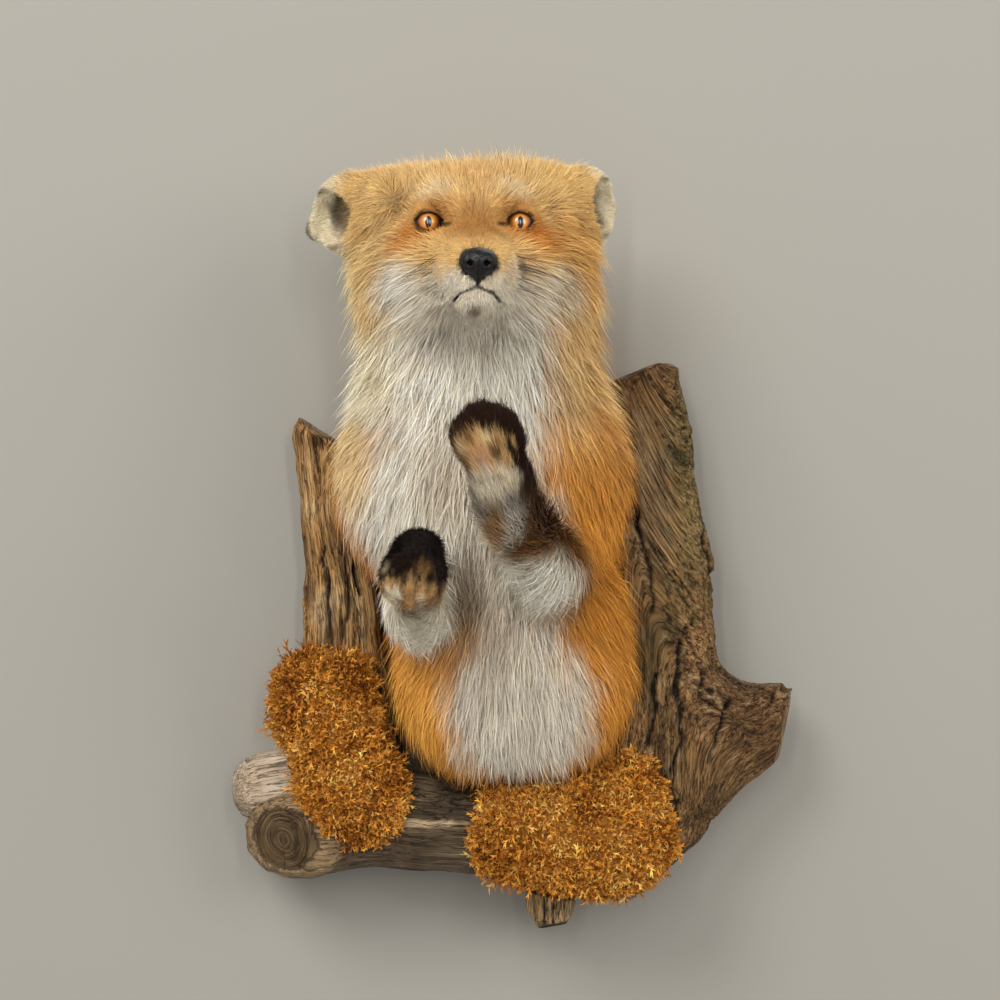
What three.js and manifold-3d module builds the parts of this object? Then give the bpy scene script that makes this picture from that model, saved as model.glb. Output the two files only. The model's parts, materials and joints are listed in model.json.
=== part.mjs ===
// A half-body wall mount of a red fox on driftwood: the animal looks out and lifts both forepaws, its back is
// flat on a plywood board, and two pads of moss hide where the pieces of driftwood meet.
//
// Millimetres. X is to the viewer's right, +Y runs into the wall, +Z is up. The wall is the plane Y = 0 and the
// origin is on the board's back face. Every solid of the animal reaches out to the tips of its coat.
import * as THREE from "three";
import { mergeVertices } from "three/addons/utils/BufferGeometryUtils.js";
import Module from "manifold-3d";

const wasm = await Module();
wasm.setup();

// ---- Driving dimensions -------------------------------------------------------------------------------------

const CLEARANCE = 0.3; // between neighbouring pieces
const EYES = new THREE.Vector3(-15, -165, 219); // midway between the two eyes
const EYE_SPACING = 52;
const EYE_RADIUS = 7.6;
const HEAD_PITCH = 3; // degrees, nose up
const HEAD_YAW = 2; // degrees, nose towards +X
const NOSE_WIDTH = 21;
const NOSE_HEIGHT = 14.5;
const BOARD = { width: 196, height: 190, thickness: 12, corner: 14, centreZ: -42 };
const HANGER = { width: 20, height: 40, thickness: 2, corner: 8, centreZ: 27 };

// Cell sizes of the faceted skins, fine where the form is fine, and how far a skin may then be flattened.
const CELLS = { head: 8, neck: 15, trunk: 15, foreleg: 11, paw: 6.2, ear: 7, nose: 3.8, wood: 13, moss: 16 };
const FLATTENING = 0.9;

// ---- Fields -------------------------------------------------------------------------------------------------
// A field gives a point's distance to a surface in millimetres, negative inside.

const rad = THREE.MathUtils.degToRad;
const vec = (a) => new THREE.Vector3(...a);

// An ellipsoid. A coat's depth is added to its three radii.
function ball(centre, radii, coat = 0) {
  const [cx, cy, cz] = centre;
  const [rx, ry, rz] = radii.map((r) => r + coat);
  return (p) => {
    const x = (p.x - cx) / rx;
    const y = (p.y - cy) / ry;
    const z = (p.z - cz) / rz;
    const unit = Math.hypot(x, y, z);
    const slope = Math.hypot(x / rx, y / ry, z / rz);
    return slope < 1e-9 ? -Math.min(rx, ry, rz) : (unit * (unit - 1)) / slope;
  };
}

// A limb that tapers from one round end to the other. Depth is its thickness along Y over its width.
function limb(from, fromRadius, to, toRadius, coat = 0, depth = 1) {
  const squash = (v) => new THREE.Vector3(v.x, v.y / depth, v.z);
  const start = squash(vec(from));
  const along = squash(vec(to)).sub(start);
  const lengthSq = along.lengthSq();
  return (p) => {
    const q = squash(p).sub(start);
    const share = THREE.MathUtils.clamp(q.dot(along) / lengthSq, 0, 1);
    const radius = THREE.MathUtils.lerp(fromRadius, toRadius, share) + coat;
    return (q.addScaledVector(along, -share).length() - radius) * Math.min(1, depth);
  };
}

// Everything behind a plane through a point, with the plane's normal pointing out.
function behind(point, normal) {
  const n = vec(normal).normalize();
  const offset = n.dot(vec(point));
  return (p) => n.dot(p) - offset;
}

// The union of several fields, with a fillet of about the given size in each corner.
function blended(fillet, ...fields) {
  return (p) => {
    let least = Infinity;
    for (const field of fields) {
      const d = field(p);
      const h = Math.max(fillet - Math.abs(least - d), 0) / fillet;
      least = Number.isFinite(least) ? Math.min(least, d) - (h * h * fillet) / 4 : d;
    }
    return least;
  };
}

const common = (...fields) => (p) => Math.max(...fields.map((field) => field(p)));
const without = (field, cut) => (p) => Math.max(field(p), -cut(p));
const clearOf = (field, gap) => (p) => gap - field(p);
const mirrored = (field) => (p) => field(new THREE.Vector3(-p.x, p.y, p.z));
const pair = (field) => [field, mirrored(field)];

// A field that is drawn in a frame of its own, such as the head's.
function placed(field, matrix) {
  const inverse = matrix.clone().invert();
  return (p) => field(p.clone().applyMatrix4(inverse));
}

// ---- Solids -------------------------------------------------------------------------------------------------

const CORNERS = [0, 1, 2, 3, 4, 5, 6, 7].map((i) => [i & 1, (i >> 1) & 1, (i >> 2) & 1]);
const EDGES = CORNERS.flatMap((a, i) =>
  CORNERS.map((b, j) => [i, j]).filter(([, j]) => j > i && [1, 2, 4].includes(i ^ j)),
);

// The closed surface where a field is zero, in the box from low to high, as a net of squares about a cell wide.
// Each net vertex starts in the middle of its cell's crossings and is then pulled onto the surface.
function netGeometry(field, low, high, cell) {
  const count = low.map((l, k) => Math.ceil((high[k] - l) / cell) + 1);
  const at = (i, j, k) => new THREE.Vector3(low[0] + i * cell, low[1] + j * cell, low[2] + k * cell);
  const index = (i, j, k) => i + count[0] * (j + count[1] * k);
  const onRim = (i, j, k) => [i, j, k].some((n, axis) => n === 0 || n === count[axis] - 1);
  const values = new Float32Array(count[0] * count[1] * count[2]);
  const everywhere = (visit) => {
    for (let k = 0; k < count[2]; k++)
      for (let j = 0; j < count[1]; j++) for (let i = 0; i < count[0]; i++) visit(i, j, k);
  };
  everywhere((i, j, k) => {
    const d = field(at(i, j, k));
    values[index(i, j, k)] = onRim(i, j, k) ? Math.max(d, cell / 4) : d;
  });

  const positions = [];
  const vertexOf = new Map();
  everywhere((i, j, k) => {
    if (i === count[0] - 1 || j === count[1] - 1 || k === count[2] - 1) return;
    const middle = new THREE.Vector3();
    let crossings = 0;
    for (const [a, b] of EDGES) {
      const [from, to] = [CORNERS[a], CORNERS[b]];
      const va = values[index(i + from[0], j + from[1], k + from[2])];
      const vb = values[index(i + to[0], j + to[1], k + to[2])];
      if (va < 0 === vb < 0) continue;
      const start = at(i + from[0], j + from[1], k + from[2]);
      middle.add(start.lerp(at(i + to[0], j + to[1], k + to[2]), va / (va - vb)));
      crossings++;
    }
    if (!crossings) return;
    middle.divideScalar(crossings);
    vertexOf.set(index(i, j, k), positions.length / 3);
    positions.push(...onSurface(field, middle, cell).toArray());
  });

  const faces = [];
  everywhere((i, j, k) => {
    const here = values[index(i, j, k)] < 0;
    const axes = [[1, 0, 0], [0, 1, 0], [0, 0, 1]];
    axes.forEach((step, axis) => {
      const next = [i + step[0], j + step[1], k + step[2]];
      if (next[axis] >= count[axis] || here === values[index(...next)] < 0) return;
      const [u, v] = [axes[(axis + 1) % 3], axes[(axis + 2) % 3]];
      const cellAt = (su, sv) =>
        vertexOf.get(index(i - su * u[0] - sv * v[0], j - su * u[1] - sv * v[1], k - su * u[2] - sv * v[2]));
      const [a, b, c, d] = [cellAt(1, 1), cellAt(0, 1), cellAt(0, 0), cellAt(1, 0)];
      faces.push(...(here ? [a, b, c, a, c, d] : [a, c, b, a, d, c]));
    });
  });

  const geometry = new THREE.BufferGeometry();
  geometry.setAttribute("position", new THREE.Float32BufferAttribute(positions, 3));
  geometry.setIndex(faces);
  return geometry;
}

// A point moved by a few steps along the field's slope onto its surface, by no more than half a cell.
function onSurface(field, start, cell) {
  const reach = 0.5;
  const point = start.clone();
  for (let step = 0; step < 3; step++) {
    const d = field(point);
    const slope = new THREE.Vector3(
      field(point.clone().setX(point.x + reach)) - d,
      field(point.clone().setY(point.y + reach)) - d,
      field(point.clone().setZ(point.z + reach)) - d,
    ).divideScalar(reach);
    point.addScaledVector(slope, -d / Math.max(slope.lengthSq(), 0.25));
  }
  return point.sub(start).clampLength(0, cell / 2).add(start);
}

// A closed geometry as a manifold-3d solid.
function solid(geometry) {
  const bare = geometry.clone();
  bare.deleteAttribute("normal");
  bare.deleteAttribute("uv");
  const merged = mergeVertices(bare, 1e-4);
  return new wasm.Manifold(
    new wasm.Mesh({
      numProp: 3,
      vertProperties: merged.attributes.position.array,
      triVerts: new Uint32Array(merged.index.array),
    }),
  );
}

function geometryOf(made) {
  const mesh = made.getMesh();
  const geometry = new THREE.BufferGeometry();
  geometry.setAttribute("position", new THREE.BufferAttribute(mesh.vertProperties, 3));
  geometry.setIndex(new THREE.BufferAttribute(mesh.triVerts, 1));
  return geometry;
}

// A solid whose corners are all moved out along their normals, as the tool that cuts its seat in a neighbour.
function grown(made, by) {
  const geometry = geometryOf(made);
  geometry.computeVertexNormals();
  const { position, normal } = geometry.attributes;
  for (let i = 0; i < position.count; i++)
    position.setXYZ(
      i,
      position.getX(i) + normal.getX(i) * by,
      position.getY(i) + normal.getY(i) * by,
      position.getZ(i) + normal.getZ(i) * by,
    );
  return solid(geometry);
}

// The largest body of a solid, for a piece that its neighbours cut crumbs from.
function largest(made) {
  return made.decompose().reduce((a, b) => (a.volume() > b.volume() ? a : b));
}

function net(field, low, high, cell, frame = new THREE.Matrix4()) {
  return solid(netGeometry(field, low, high, cell).applyMatrix4(frame)).simplify(FLATTENING * Math.min(1, cell / 9));
}

// ---- The fox's flesh and coat -------------------------------------------------------------------------------
// Each mass has a coat: the depth by which the fur stands over it. The head is drawn level, from a point midway
// between its eyes, with -Y forwards.

const headFrame = new THREE.Matrix4().compose(
  EYES,
  new THREE.Quaternion().setFromEuler(new THREE.Euler(rad(-HEAD_PITCH), 0, rad(HEAD_YAW), "ZXY")),
  new THREE.Vector3(1, 1, 1),
);

const skull = blended(
  14,
  ball([0, 36, 3], [35, 44, 28], 12), // cranium
  ball([0, 4, 6], [27, 20, 16], 8), // brow
  ball([-42, 42, 17], [19, 20, 15], 11), // roots of the ears
  ball([40, 42, 19], [19, 20, 15], 11),
  ...pair(ball([26, 26, -18], [19, 32, 22], 12)), // cheeks
  ...pair(ball([36, 52, -18], [23, 24, 34], 16)), // ruff
  limb([0, -6, -14], 20, [0, -52, -27], 13.5, 4), // muzzle
  ...pair(ball([9, -50, -31], [11, 15, 11], 3.5)), // whisker pads
  limb([0, 12, -44], 19, [0, -48, -45], 8, 5), // lower jaw
  ball([0, 40, -46], [32, 34, 28], 16), // throat
);
const eyeSocket = ball([EYE_SPACING / 2 + 0.5, -11, 0], [12, 15, 9.5]);
const headField = placed(
  pair(eyeSocket).reduce((head, socket) => without(head, socket), skull),
  headFrame,
);

const bodyField = blended(
  22,
  limb([-13, -100, 192], 50, [-12, -78, 100], 56, 25), // neck
  ball([-8, -80, 72], [62, 56, 66], 24), // chest
  ball([8, -68, -16], [55, 54, 60], 21), // belly
  ball([-12, -66, -57], [36, 44, 40], 17), // waist
  ball([29, -66, -57], [37, 44, 40], 17),
  ball([40, -98, 72], [24, 26, 40], 13), // left shoulder
  ball([-64, -96, 68], [22, 26, 36], 14), // right shoulder
);

// A foreleg from shoulder to wrist, and its paw: the palm and four toes, drawn with -Z towards the toes' tips and
// +Y out of the back of the paw.
function foreleg({ shoulder, elbow, wrist }) {
  return blended(10, limb(shoulder, 10, elbow, 15, 10), limb(elbow, 14, wrist, 8, 7));
}
const TOE_SPREAD = 7.6;
const pawField = blended(
  6,
  limb([0, 2, 0], 11, [0, 0, -20], 12.5, 5, 0.8),
  ...[-1.5, -0.5, 0.5, 1.5].map((n) => {
    const reach = Math.abs(n) > 1 ? -33 : -38;
    return limb([n * TOE_SPREAD, 0, -22], 6, [n * TOE_SPREAD * 1.1, -4, reach], 5, 3.5);
  }),
);

const LEFT_LEG = { shoulder: [40, -78, 66], elbow: [32, -138, 18], wrist: [4, -208, 56] };
const RIGHT_LEG = { shoulder: [-56, -76, 32], elbow: [-46, -134, -10], wrist: [-47, -203, 16] };

// A paw's frame: at its wrist, with the toes along one direction and the back of the paw towards another.
function pawFrame(wrist, toes, back) {
  const z = vec(toes).normalize().negate();
  const y = vec(back).addScaledVector(z, -vec(back).dot(z)).normalize();
  const x = new THREE.Vector3().crossVectors(y, z);
  return new THREE.Matrix4().makeBasis(x, y, z).setPosition(vec(wrist));
}
const leftPawFrame = pawFrame([1, -216, 70], [-0.3, -0.22, 1], [0.25, 0.95, 0.2]);
const rightPawFrame = pawFrame([-46, -208, 30], [-0.08, -0.88, -0.42], [0, -0.4, 1]);

// An ear: a cupped cone that lies back from the head, drawn with +Z towards its tip and its hollow facing -Y.
const EAR = { length: 76, width: 27, wall: 6 };
const earField = without(
  common(
    limb([0, 0, -8], EAR.width, [0, 10, EAR.length - 6], 5, 0, 0.8),
    behind([0, 0, EAR.length], [0, 0, 1]),
  ),
  limb([0, -15, -12], EAR.width - EAR.wall, [0, 0, EAR.length - 8], 3, 0, 0.85),
);
function earFrame(root, tip, hollow) {
  const z = vec(tip).sub(vec(root)).normalize();
  const y = vec(hollow).negate();
  y.addScaledVector(z, -y.dot(z)).normalize();
  const x = new THREE.Vector3().crossVectors(y, z);
  return headFrame.clone().multiply(new THREE.Matrix4().makeBasis(x, y, z).setPosition(vec(root)));
}
const leftEarFrame = earFrame([57, 36, 18], [94, 96, 30], [0.7, -0.7, -0.1]);
const rightEarFrame = earFrame([-60, 28, 20], [-96, 82, 12], [-0.65, -0.75, -0.15]);

// ---- Driftwood and moss -------------------------------------------------------------------------------------

const WOOD_BACK = behind([0, -BOARD.thickness - CLEARANCE, 0], [0, 1, 0]);

const slabField = common(
  blended(
    24,
    blended(
      6,
      limb([88, -36, 134], 26, [96, -38, 20], 35, 0, 0.72),
      limb([96, -38, 20], 35, [92, -42, -112], 44, 0, 0.7),
      limb([92, -42, -112], 44, [80, -42, -150], 40, 0, 0.7),
    ),
    limb([112, -40, -92], 38, [188, -34, -74], 23, 0, 0.8), // horn
  ),
  behind([107, -36, 149], [-0.37, 0, 0.93]), // broken top
  behind([182, -34, -60], [0.97, -0.12, -0.2]), // sawn end of the horn
  behind([93, 0, -175], [0.61, 0, -0.79]), // split underside
  WOOD_BACK,
);
const logField = common(
  blended(
    16,
    limb([-128, -44, -146], 24, [-50, -44, -138], 27),
    limb([-50, -44, -138], 27, [40, -44, -150], 33),
    limb([40, -44, -150], 33, [76, -42, -146], 34),
    ball([-122, -50, -147], [34, 24, 23]), // the swelling round the sawn branch
  ),
  behind([-132, -64, -152], [-0.55, -0.8, -0.22]), // sawn branch
  WOOD_BACK,
);
const knobField = common(limb([-146, -36, -119], 23, [-90, -38, -112], 26), WOOD_BACK);
const pegField = common(limb([33, -42, -150], 21, [31, -40, -214], 15), behind([30, 0, -204], [0.18, 0, -1]), WOOD_BACK);
const postField = common(
  blended(
    5,
    limb([-116, -34, 108], 15, [-102, -34, 40], 21, 0, 0.9),
    limb([-102, -34, 40], 21, [-94, -36, -100], 31, 0, 0.75),
  ),
  behind([-128, -34, 114], [0.53, 0, 0.85]), // slanting break at the top
  WOOD_BACK,
);
const mossLeftField = blended(
  18,
  ball([-118, -52, -66], [25, 26, 34]),
  ball([-96, -52, -66], [23, 24, 36]),
  ball([-94, -62, -112], [34, 26, 36]),
  ball([-78, -66, -128], [24, 20, 24]),
);
const mossRightField = blended(
  18,
  ball([18, -76, -142], [42, 20, 34]),
  ball([62, -74, -146], [46, 24, 38]),
  ball([84, -62, -108], [26, 24, 22]),
);

// ---- Board and hanger ---------------------------------------------------------------------------------------

function roundedRect(width, height, corner) {
  const [w, h] = [width / 2, height / 2];
  const shape = new THREE.Shape();
  shape.moveTo(-w + corner, -h);
  shape.lineTo(w - corner, -h).absarc(w - corner, -h + corner, corner, -Math.PI / 2, 0);
  shape.lineTo(w, h - corner).absarc(w - corner, h - corner, corner, 0, Math.PI / 2);
  shape.lineTo(-w + corner, h).absarc(-w + corner, h - corner, corner, Math.PI / 2, Math.PI);
  shape.lineTo(-w, -h + corner).absarc(-w + corner, -h + corner, corner, Math.PI, 1.5 * Math.PI);
  return shape;
}

// A flat plate from a shape, standing in the XZ plane with its back at Y = back.
function plate(shape, thickness, back, centreZ) {
  const geometry = new THREE.ExtrudeGeometry(shape, { depth: thickness, bevelEnabled: false, curveSegments: 5 });
  return geometry.rotateX(Math.PI / 2).translate(0, back, centreZ);
}

// A keyhole: a round entry for the screw's head under a slot for its shank.
function keyhole(entryRadius, slotRadius, slotHeight) {
  const meet = Math.asin(slotRadius / entryRadius);
  const path = new THREE.Path();
  path.absarc(0, -slotHeight / 2, entryRadius, Math.PI / 2 + meet, Math.PI / 2 - meet + 2 * Math.PI, false);
  path.lineTo(slotRadius, slotHeight / 2);
  path.absarc(0, slotHeight / 2, slotRadius, 0, Math.PI, false);
  path.closePath();
  return path;
}

// ---- Assembly -----------------------------------------------------------------------------------------------

const colour = (hex, roughness, metalness = 0) =>
  new THREE.MeshStandardMaterial({ color: hex, roughness, metalness });
const MATERIALS = {
  orangeFur: colour(0xb9772c, 0.85),
  whiteFur: colour(0xc9bda9, 0.9),
  faceFur: colour(0xb8823d, 0.85),
  blackFur: colour(0x241a14, 0.8),
  eye: colour(0xb8621c, 0.1),
  nose: colour(0x232021, 0.35),
  wood: colour(0x73614a, 0.9),
  paleWood: colour(0xa8957c, 0.9),
  moss: colour(0xa5692a, 0.95),
  plywood: colour(0xb08d5e, 0.8),
  steel: colour(0x9a9a98, 0.4, 1),
};

const mount = new THREE.Group();
const seated = []; // the tools of the solids in place

// Cuts a solid by the tools of its neighbours in place and adds it as a mesh, with tools of its own.
function add(name, made, material, tools = [grown(made, 2 * CLEARANCE)]) {
  const kept = largest(seated.reduce((rest, tool) => rest.subtract(tool), made));
  seated.push(...tools);
  const mesh = new THREE.Mesh(geometryOf(kept), material);
  mesh.name = name;
  mount.add(mesh);
  return kept;
}

// The parts of a solid on the two sides of a plane, with a thin kerf between them.
function parted(made, point, normal) {
  const n = vec(normal).normalize();
  const offset = n.dot(vec(point));
  return {
    ahead: made.trimByPlane(n.toArray(), offset + CLEARANCE),
    back: made.trimByPlane(n.clone().negate().toArray(), CLEARANCE - offset),
  };
}

const hangerShape = roundedRect(HANGER.width, HANGER.height, HANGER.corner);
const pocketShape = roundedRect(HANGER.width + 2, HANGER.height + 2, HANGER.corner + 1);
const pocket = solid(plate(pocketShape, HANGER.thickness + 6, 1, HANGER.centreZ));
const board = solid(plate(roundedRect(BOARD.width, BOARD.height, BOARD.corner), BOARD.thickness, 0, BOARD.centreZ));
hangerShape.holes.push(keyhole(5, 2.4, 14));
const boardSeat = solid(
  plate(
    roundedRect(BOARD.width + 2 * CLEARANCE, BOARD.height + 2 * CLEARANCE, BOARD.corner),
    BOARD.thickness + CLEARANCE + 5,
    5,
    BOARD.centreZ,
  ),
);
const hanger = solid(plate(hangerShape, HANGER.thickness, -0.2, HANGER.centreZ));
add("hanger_plate", hanger, MATERIALS.steel, []);
add("backboard", board.subtract(pocket), MATERIALS.plywood, [boardSeat]);

add("driftwood_log", net(logField, [-175, -90, -200], [130, 0, -90], CELLS.wood), MATERIALS.wood);
add("driftwood_slab", net(slabField, [40, -90, -200], [210, 0, 165], CELLS.wood), MATERIALS.wood);
add("driftwood_peg", net(pegField, [0, -80, -225], [66, 0, -120], CELLS.wood), MATERIALS.wood);
add("driftwood_knob", net(knobField, [-185, -80, -160], [-50, 0, -80], CELLS.wood), MATERIALS.paleWood);
add("driftwood_post", net(postField, [-150, -80, -140], [-50, 0, 135], CELLS.wood), MATERIALS.wood);

// The ball of an eye, and the nose pad with its wings.
const eyeGeometry = (side) =>
  new THREE.SphereGeometry(EYE_RADIUS, 11, 7)
    .translate((side * EYE_SPACING) / 2, -2, 0)
    .applyMatrix4(headFrame);
const noseField = blended(
  3,
  ball([0, -70, -28.5], [NOSE_WIDTH * 0.36, 8, NOSE_HEIGHT * 0.48]),
  ...pair(ball([NOSE_WIDTH * 0.26, -70, -29], [NOSE_WIDTH * 0.25, 7.5, NOSE_HEIGHT * 0.38])),
);
add("eye_left", solid(eyeGeometry(1)), MATERIALS.eye);
add("eye_right", solid(eyeGeometry(-1)), MATERIALS.eye);
add("nose", net(placed(noseField, headFrame), [-40, -260, 170], [20, -215, 210], CELLS.nose), MATERIALS.nose);

// Head, neck, chest and belly are one form, parted by thin cuts.
const wholeField = blended(20, headField, bodyField);
const nape = { point: [0, -150, 166], normal: [0, -0.75, 0.67] };
const collar = { point: [0, 0, 108], normal: [0, -0.1, 1] };
const waist = { point: [0, 0, -8], normal: [0, 0, 1] };
const backPlane = behind([0, -CLEARANCE, 0], [0, 1, 0]);
const trunkField = common(wholeField, backPlane);
const headNet = net(wholeField, [-115, -255, 130], [95, -20, 290], CELLS.head);
const neckNet = net(trunkField, [-130, -200, 80], [100, 12, 290], CELLS.neck);
const trunkNet = net(trunkField, [-130, -185, -140], [110, 12, 130], CELLS.trunk);
const overCollar = parted(neckNet, collar.point, collar.normal).ahead;
const underCollar = parted(trunkNet, collar.point, collar.normal).back;
const { ahead: chest, back: belly } = parted(underCollar, waist.point, waist.normal);

// Nothing but the part of a piece that stands clear of the animal's coat is drawn.
function earNet(frame) {
  const field = common(earField, placed(clearOf(wholeField, 2), frame.clone().invert()));
  return net(field, [-34, -30, -38], [34, 34, EAR.length + 8], CELLS.ear, frame);
}
add("head", parted(headNet, nape.point, nape.normal).ahead, MATERIALS.faceFur, []);
add("neck", parted(overCollar, nape.point, nape.normal).back, MATERIALS.whiteFur, []);
add("chest", chest, MATERIALS.whiteFur, []);
add("belly", belly, MATERIALS.orangeFur, []);
seated.push(...[headNet, neckNet, trunkNet].map((made) => grown(made, 2 * CLEARANCE)));
add("ear_left", earNet(leftEarFrame), MATERIALS.whiteFur);
add("ear_right", earNet(rightEarFrame), MATERIALS.whiteFur);

// Each foreleg comes out of the coat of the chest, and its paw is seated on the wrist.
function addForeleg(side, leg, frame) {
  const field = common(foreleg(leg), clearOf(wholeField, 4), placed(clearOf(pawField, 1.8), frame));
  const box = new THREE.Box3().setFromPoints(Object.values(leg).map(vec)).expandByScalar(42);
  add("forepaw_" + side, net(pawField, [-30, -24, -54], [30, 26, 22], CELLS.paw, frame), MATERIALS.blackFur);
  add("foreleg_" + side, net(field, box.min.toArray(), box.max.toArray(), CELLS.foreleg), MATERIALS.whiteFur);
}
addForeleg("left", LEFT_LEG, leftPawFrame);
addForeleg("right", RIGHT_LEG, rightPawFrame);

add("moss_left", net(mossLeftField, [-160, -110, -170], [-30, -2, -10], CELLS.moss), MATERIALS.moss);
add("moss_right", net(mossRightField, [-40, -110, -200], [130, -2, -70], CELLS.moss), MATERIALS.moss);

export default mount;
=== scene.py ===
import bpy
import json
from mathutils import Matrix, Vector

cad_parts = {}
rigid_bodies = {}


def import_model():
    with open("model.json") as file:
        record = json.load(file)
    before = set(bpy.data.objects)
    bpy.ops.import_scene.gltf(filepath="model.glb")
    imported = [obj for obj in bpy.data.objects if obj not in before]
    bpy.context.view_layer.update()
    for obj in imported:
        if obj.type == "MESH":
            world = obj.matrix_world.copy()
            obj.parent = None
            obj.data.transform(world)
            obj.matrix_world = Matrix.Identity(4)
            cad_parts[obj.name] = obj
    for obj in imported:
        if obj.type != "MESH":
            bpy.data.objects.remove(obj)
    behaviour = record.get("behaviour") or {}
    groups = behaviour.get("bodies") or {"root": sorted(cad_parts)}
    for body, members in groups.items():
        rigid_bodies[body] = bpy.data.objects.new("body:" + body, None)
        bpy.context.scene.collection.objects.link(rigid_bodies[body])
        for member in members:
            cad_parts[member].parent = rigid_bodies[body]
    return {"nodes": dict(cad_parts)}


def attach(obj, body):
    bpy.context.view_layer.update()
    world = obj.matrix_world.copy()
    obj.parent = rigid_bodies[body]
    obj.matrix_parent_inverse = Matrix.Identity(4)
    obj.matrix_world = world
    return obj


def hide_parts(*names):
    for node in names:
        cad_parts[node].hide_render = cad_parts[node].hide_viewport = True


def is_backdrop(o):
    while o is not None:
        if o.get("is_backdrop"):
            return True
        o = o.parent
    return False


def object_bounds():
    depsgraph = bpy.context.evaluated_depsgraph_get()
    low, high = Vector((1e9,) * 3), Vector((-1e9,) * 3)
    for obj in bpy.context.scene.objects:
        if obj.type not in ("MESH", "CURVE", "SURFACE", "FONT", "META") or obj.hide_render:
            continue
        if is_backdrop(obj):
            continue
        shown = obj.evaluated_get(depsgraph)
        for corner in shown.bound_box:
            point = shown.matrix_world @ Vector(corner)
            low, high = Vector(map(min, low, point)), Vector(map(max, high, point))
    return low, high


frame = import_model()

"""A half-body wall mount of a red fox on driftwood, finished around the CAD frame.

The animal is one skin, found on the distance field of a few named masses, under a coat of thin tufts that lie
along the body. Lengths are in millimetres until a mesh is made, in the frame's own axes: +X is the viewer's
right, +Y runs into the wall and +Z is up.
"""

import json
import logging
import math
from dataclasses import dataclass, field
from enum import Enum
from typing import Callable, Sequence

import bmesh
import bpy
import numpy as np
import openvdb
from mathutils import Matrix, Vector
from mathutils.kdtree import KDTree

LOG = logging.getLogger("fox_mount")
MM = 0.001
Array = np.ndarray
Triple = tuple[float, float, float]

# ---- Driving dimensions, in millimetres -----------------------------------------------------------------

EYES = np.array([-15.0, -165.0, 219.0])  # midway between the two eyes
EYE_SPACING = 52.0
EYE_RADIUS = 7.6
EYE_SETBACK = -2.0
LID_TILT = 8.0  # degrees, outer corners up
LID_INNER = 9.6  # from the middle of the eye to the corner by the nose
LID_OUTER = 8.3
LID_HALF_HEIGHT = 4.7
LID_THICKNESS = 1.5
PHILTRUM_RISE = (0.0, -1.5, 5.0)  # from the lips to the top of the groove under the nose
HEAD_PITCH = 3.0  # degrees, nose up
HEAD_YAW = 2.0  # degrees, nose towards +X
NOSE_WIDTH = 21.0
TOE_PLACES = (-1.5, -0.5, 0.5, 1.5)  # across the paw, in toe spreads
WALL = -0.5  # nothing reaches nearer to the wall's plane
CAMERA_DISTANCE = 1800.0
CAMERA_HEIGHT = 60.0
CAMERA_LENS = 102.17
SENSOR = 36.0
BAKE_PATCH = 0.003  # of the map, the size of each tuft's own patch


# ---- Small maths ----------------------------------------------------------------------------------------


def smoothstep(low: float, high: float, value: Array) -> Array:
    """A smooth rise from 0 at low to 1 at high."""
    share = np.clip((value - low) / (high - low), 0.0, 1.0)
    return share * share * (3.0 - 2.0 * share)


def plain(colour: str, count: int) -> Array:
    """Rows of one colour."""
    return np.repeat(linear(colour)[None], count, axis=0)


def reach_from(points: Array, centre: Triple, radii: Triple) -> Array:
    """Each point's distance from the middle of an oval, in the oval's own radii."""
    return np.linalg.norm((points - np.array(centre)) / np.array(radii), axis=1)


def run_gap(points: Array, start: Array, end: Array) -> Array:
    """Each point's distance to a straight run."""
    along = end - start
    share = np.clip((points - start) @ along / (along @ along), 0.0, 1.0)
    return np.linalg.norm(points - start - share[:, None] * along, axis=1)


def unit(vectors: Array) -> Array:
    """Vectors of length one along the last axis."""
    return vectors / np.maximum(np.linalg.norm(vectors, axis=-1, keepdims=True), 1e-9)


def linear(colour: str) -> Array:
    """A colour written as six hex digits, in linear light."""
    parts = np.array([int(colour[i : i + 2], 16) / 255.0 for i in (0, 2, 4)])
    return np.where(parts <= 0.04045, parts / 12.92, ((parts + 0.055) / 1.055) ** 2.4)


def blended(below: Array, above: Array, share: Array) -> Array:
    """Rows of one colour mixed into another by a share for each row."""
    return below + (above - below) * share[:, None]


@dataclass(frozen=True)
class Noise:
    """Smooth value noise of about -1 to 1, the same on every run.

    Attributes:
        seed: Which of the endless fields of noise this is.
        size: The size of its lumps in millimetres, along each axis.
    """

    seed: int
    size: Triple

    def at(self, points: Array) -> Array:
        """One value of noise for each row of millimetres."""
        scaled = points / np.array(self.size)
        cell = np.floor(scaled).astype(np.int64)
        inside = scaled - cell
        fade = inside * inside * inside * (inside * (inside * 6.0 - 15.0) + 10.0)
        total = np.zeros(len(points))
        for corner in np.ndindex(2, 2, 2):
            offset = np.array(corner)
            weight = np.where(offset == 1, fade, 1.0 - fade).prod(axis=1)
            total += weight * self._random(cell + offset)
        return total

    def _random(self, cell: Array) -> Array:
        """A fixed random value of -1 to 1 for each cell."""
        mixed = cell @ np.array([374761393, 668265263, 1440662683]) + self.seed * 1013904223
        mixed = (mixed & 0xFFFFFFFF).astype(np.uint64)
        mixed = ((mixed ^ (mixed >> np.uint64(13))) * np.uint64(1274126177)) & np.uint64(0xFFFFFFFF)
        mixed = mixed ^ (mixed >> np.uint64(16))
        return mixed.astype(np.float64) / 2147483647.5 - 1.0

    def layered(self, points: Array, layers: int) -> Array:
        """Several octaves of the noise, each half the size and half the height of the one before."""
        total = np.zeros(len(points))
        for layer in range(layers):
            finer = Noise(self.seed + layer * 17, tuple(size / 2**layer for size in self.size))
            total += finer.at(points) / 2**layer
        return total


# ---- Fields of distance ---------------------------------------------------------------------------------


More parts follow.
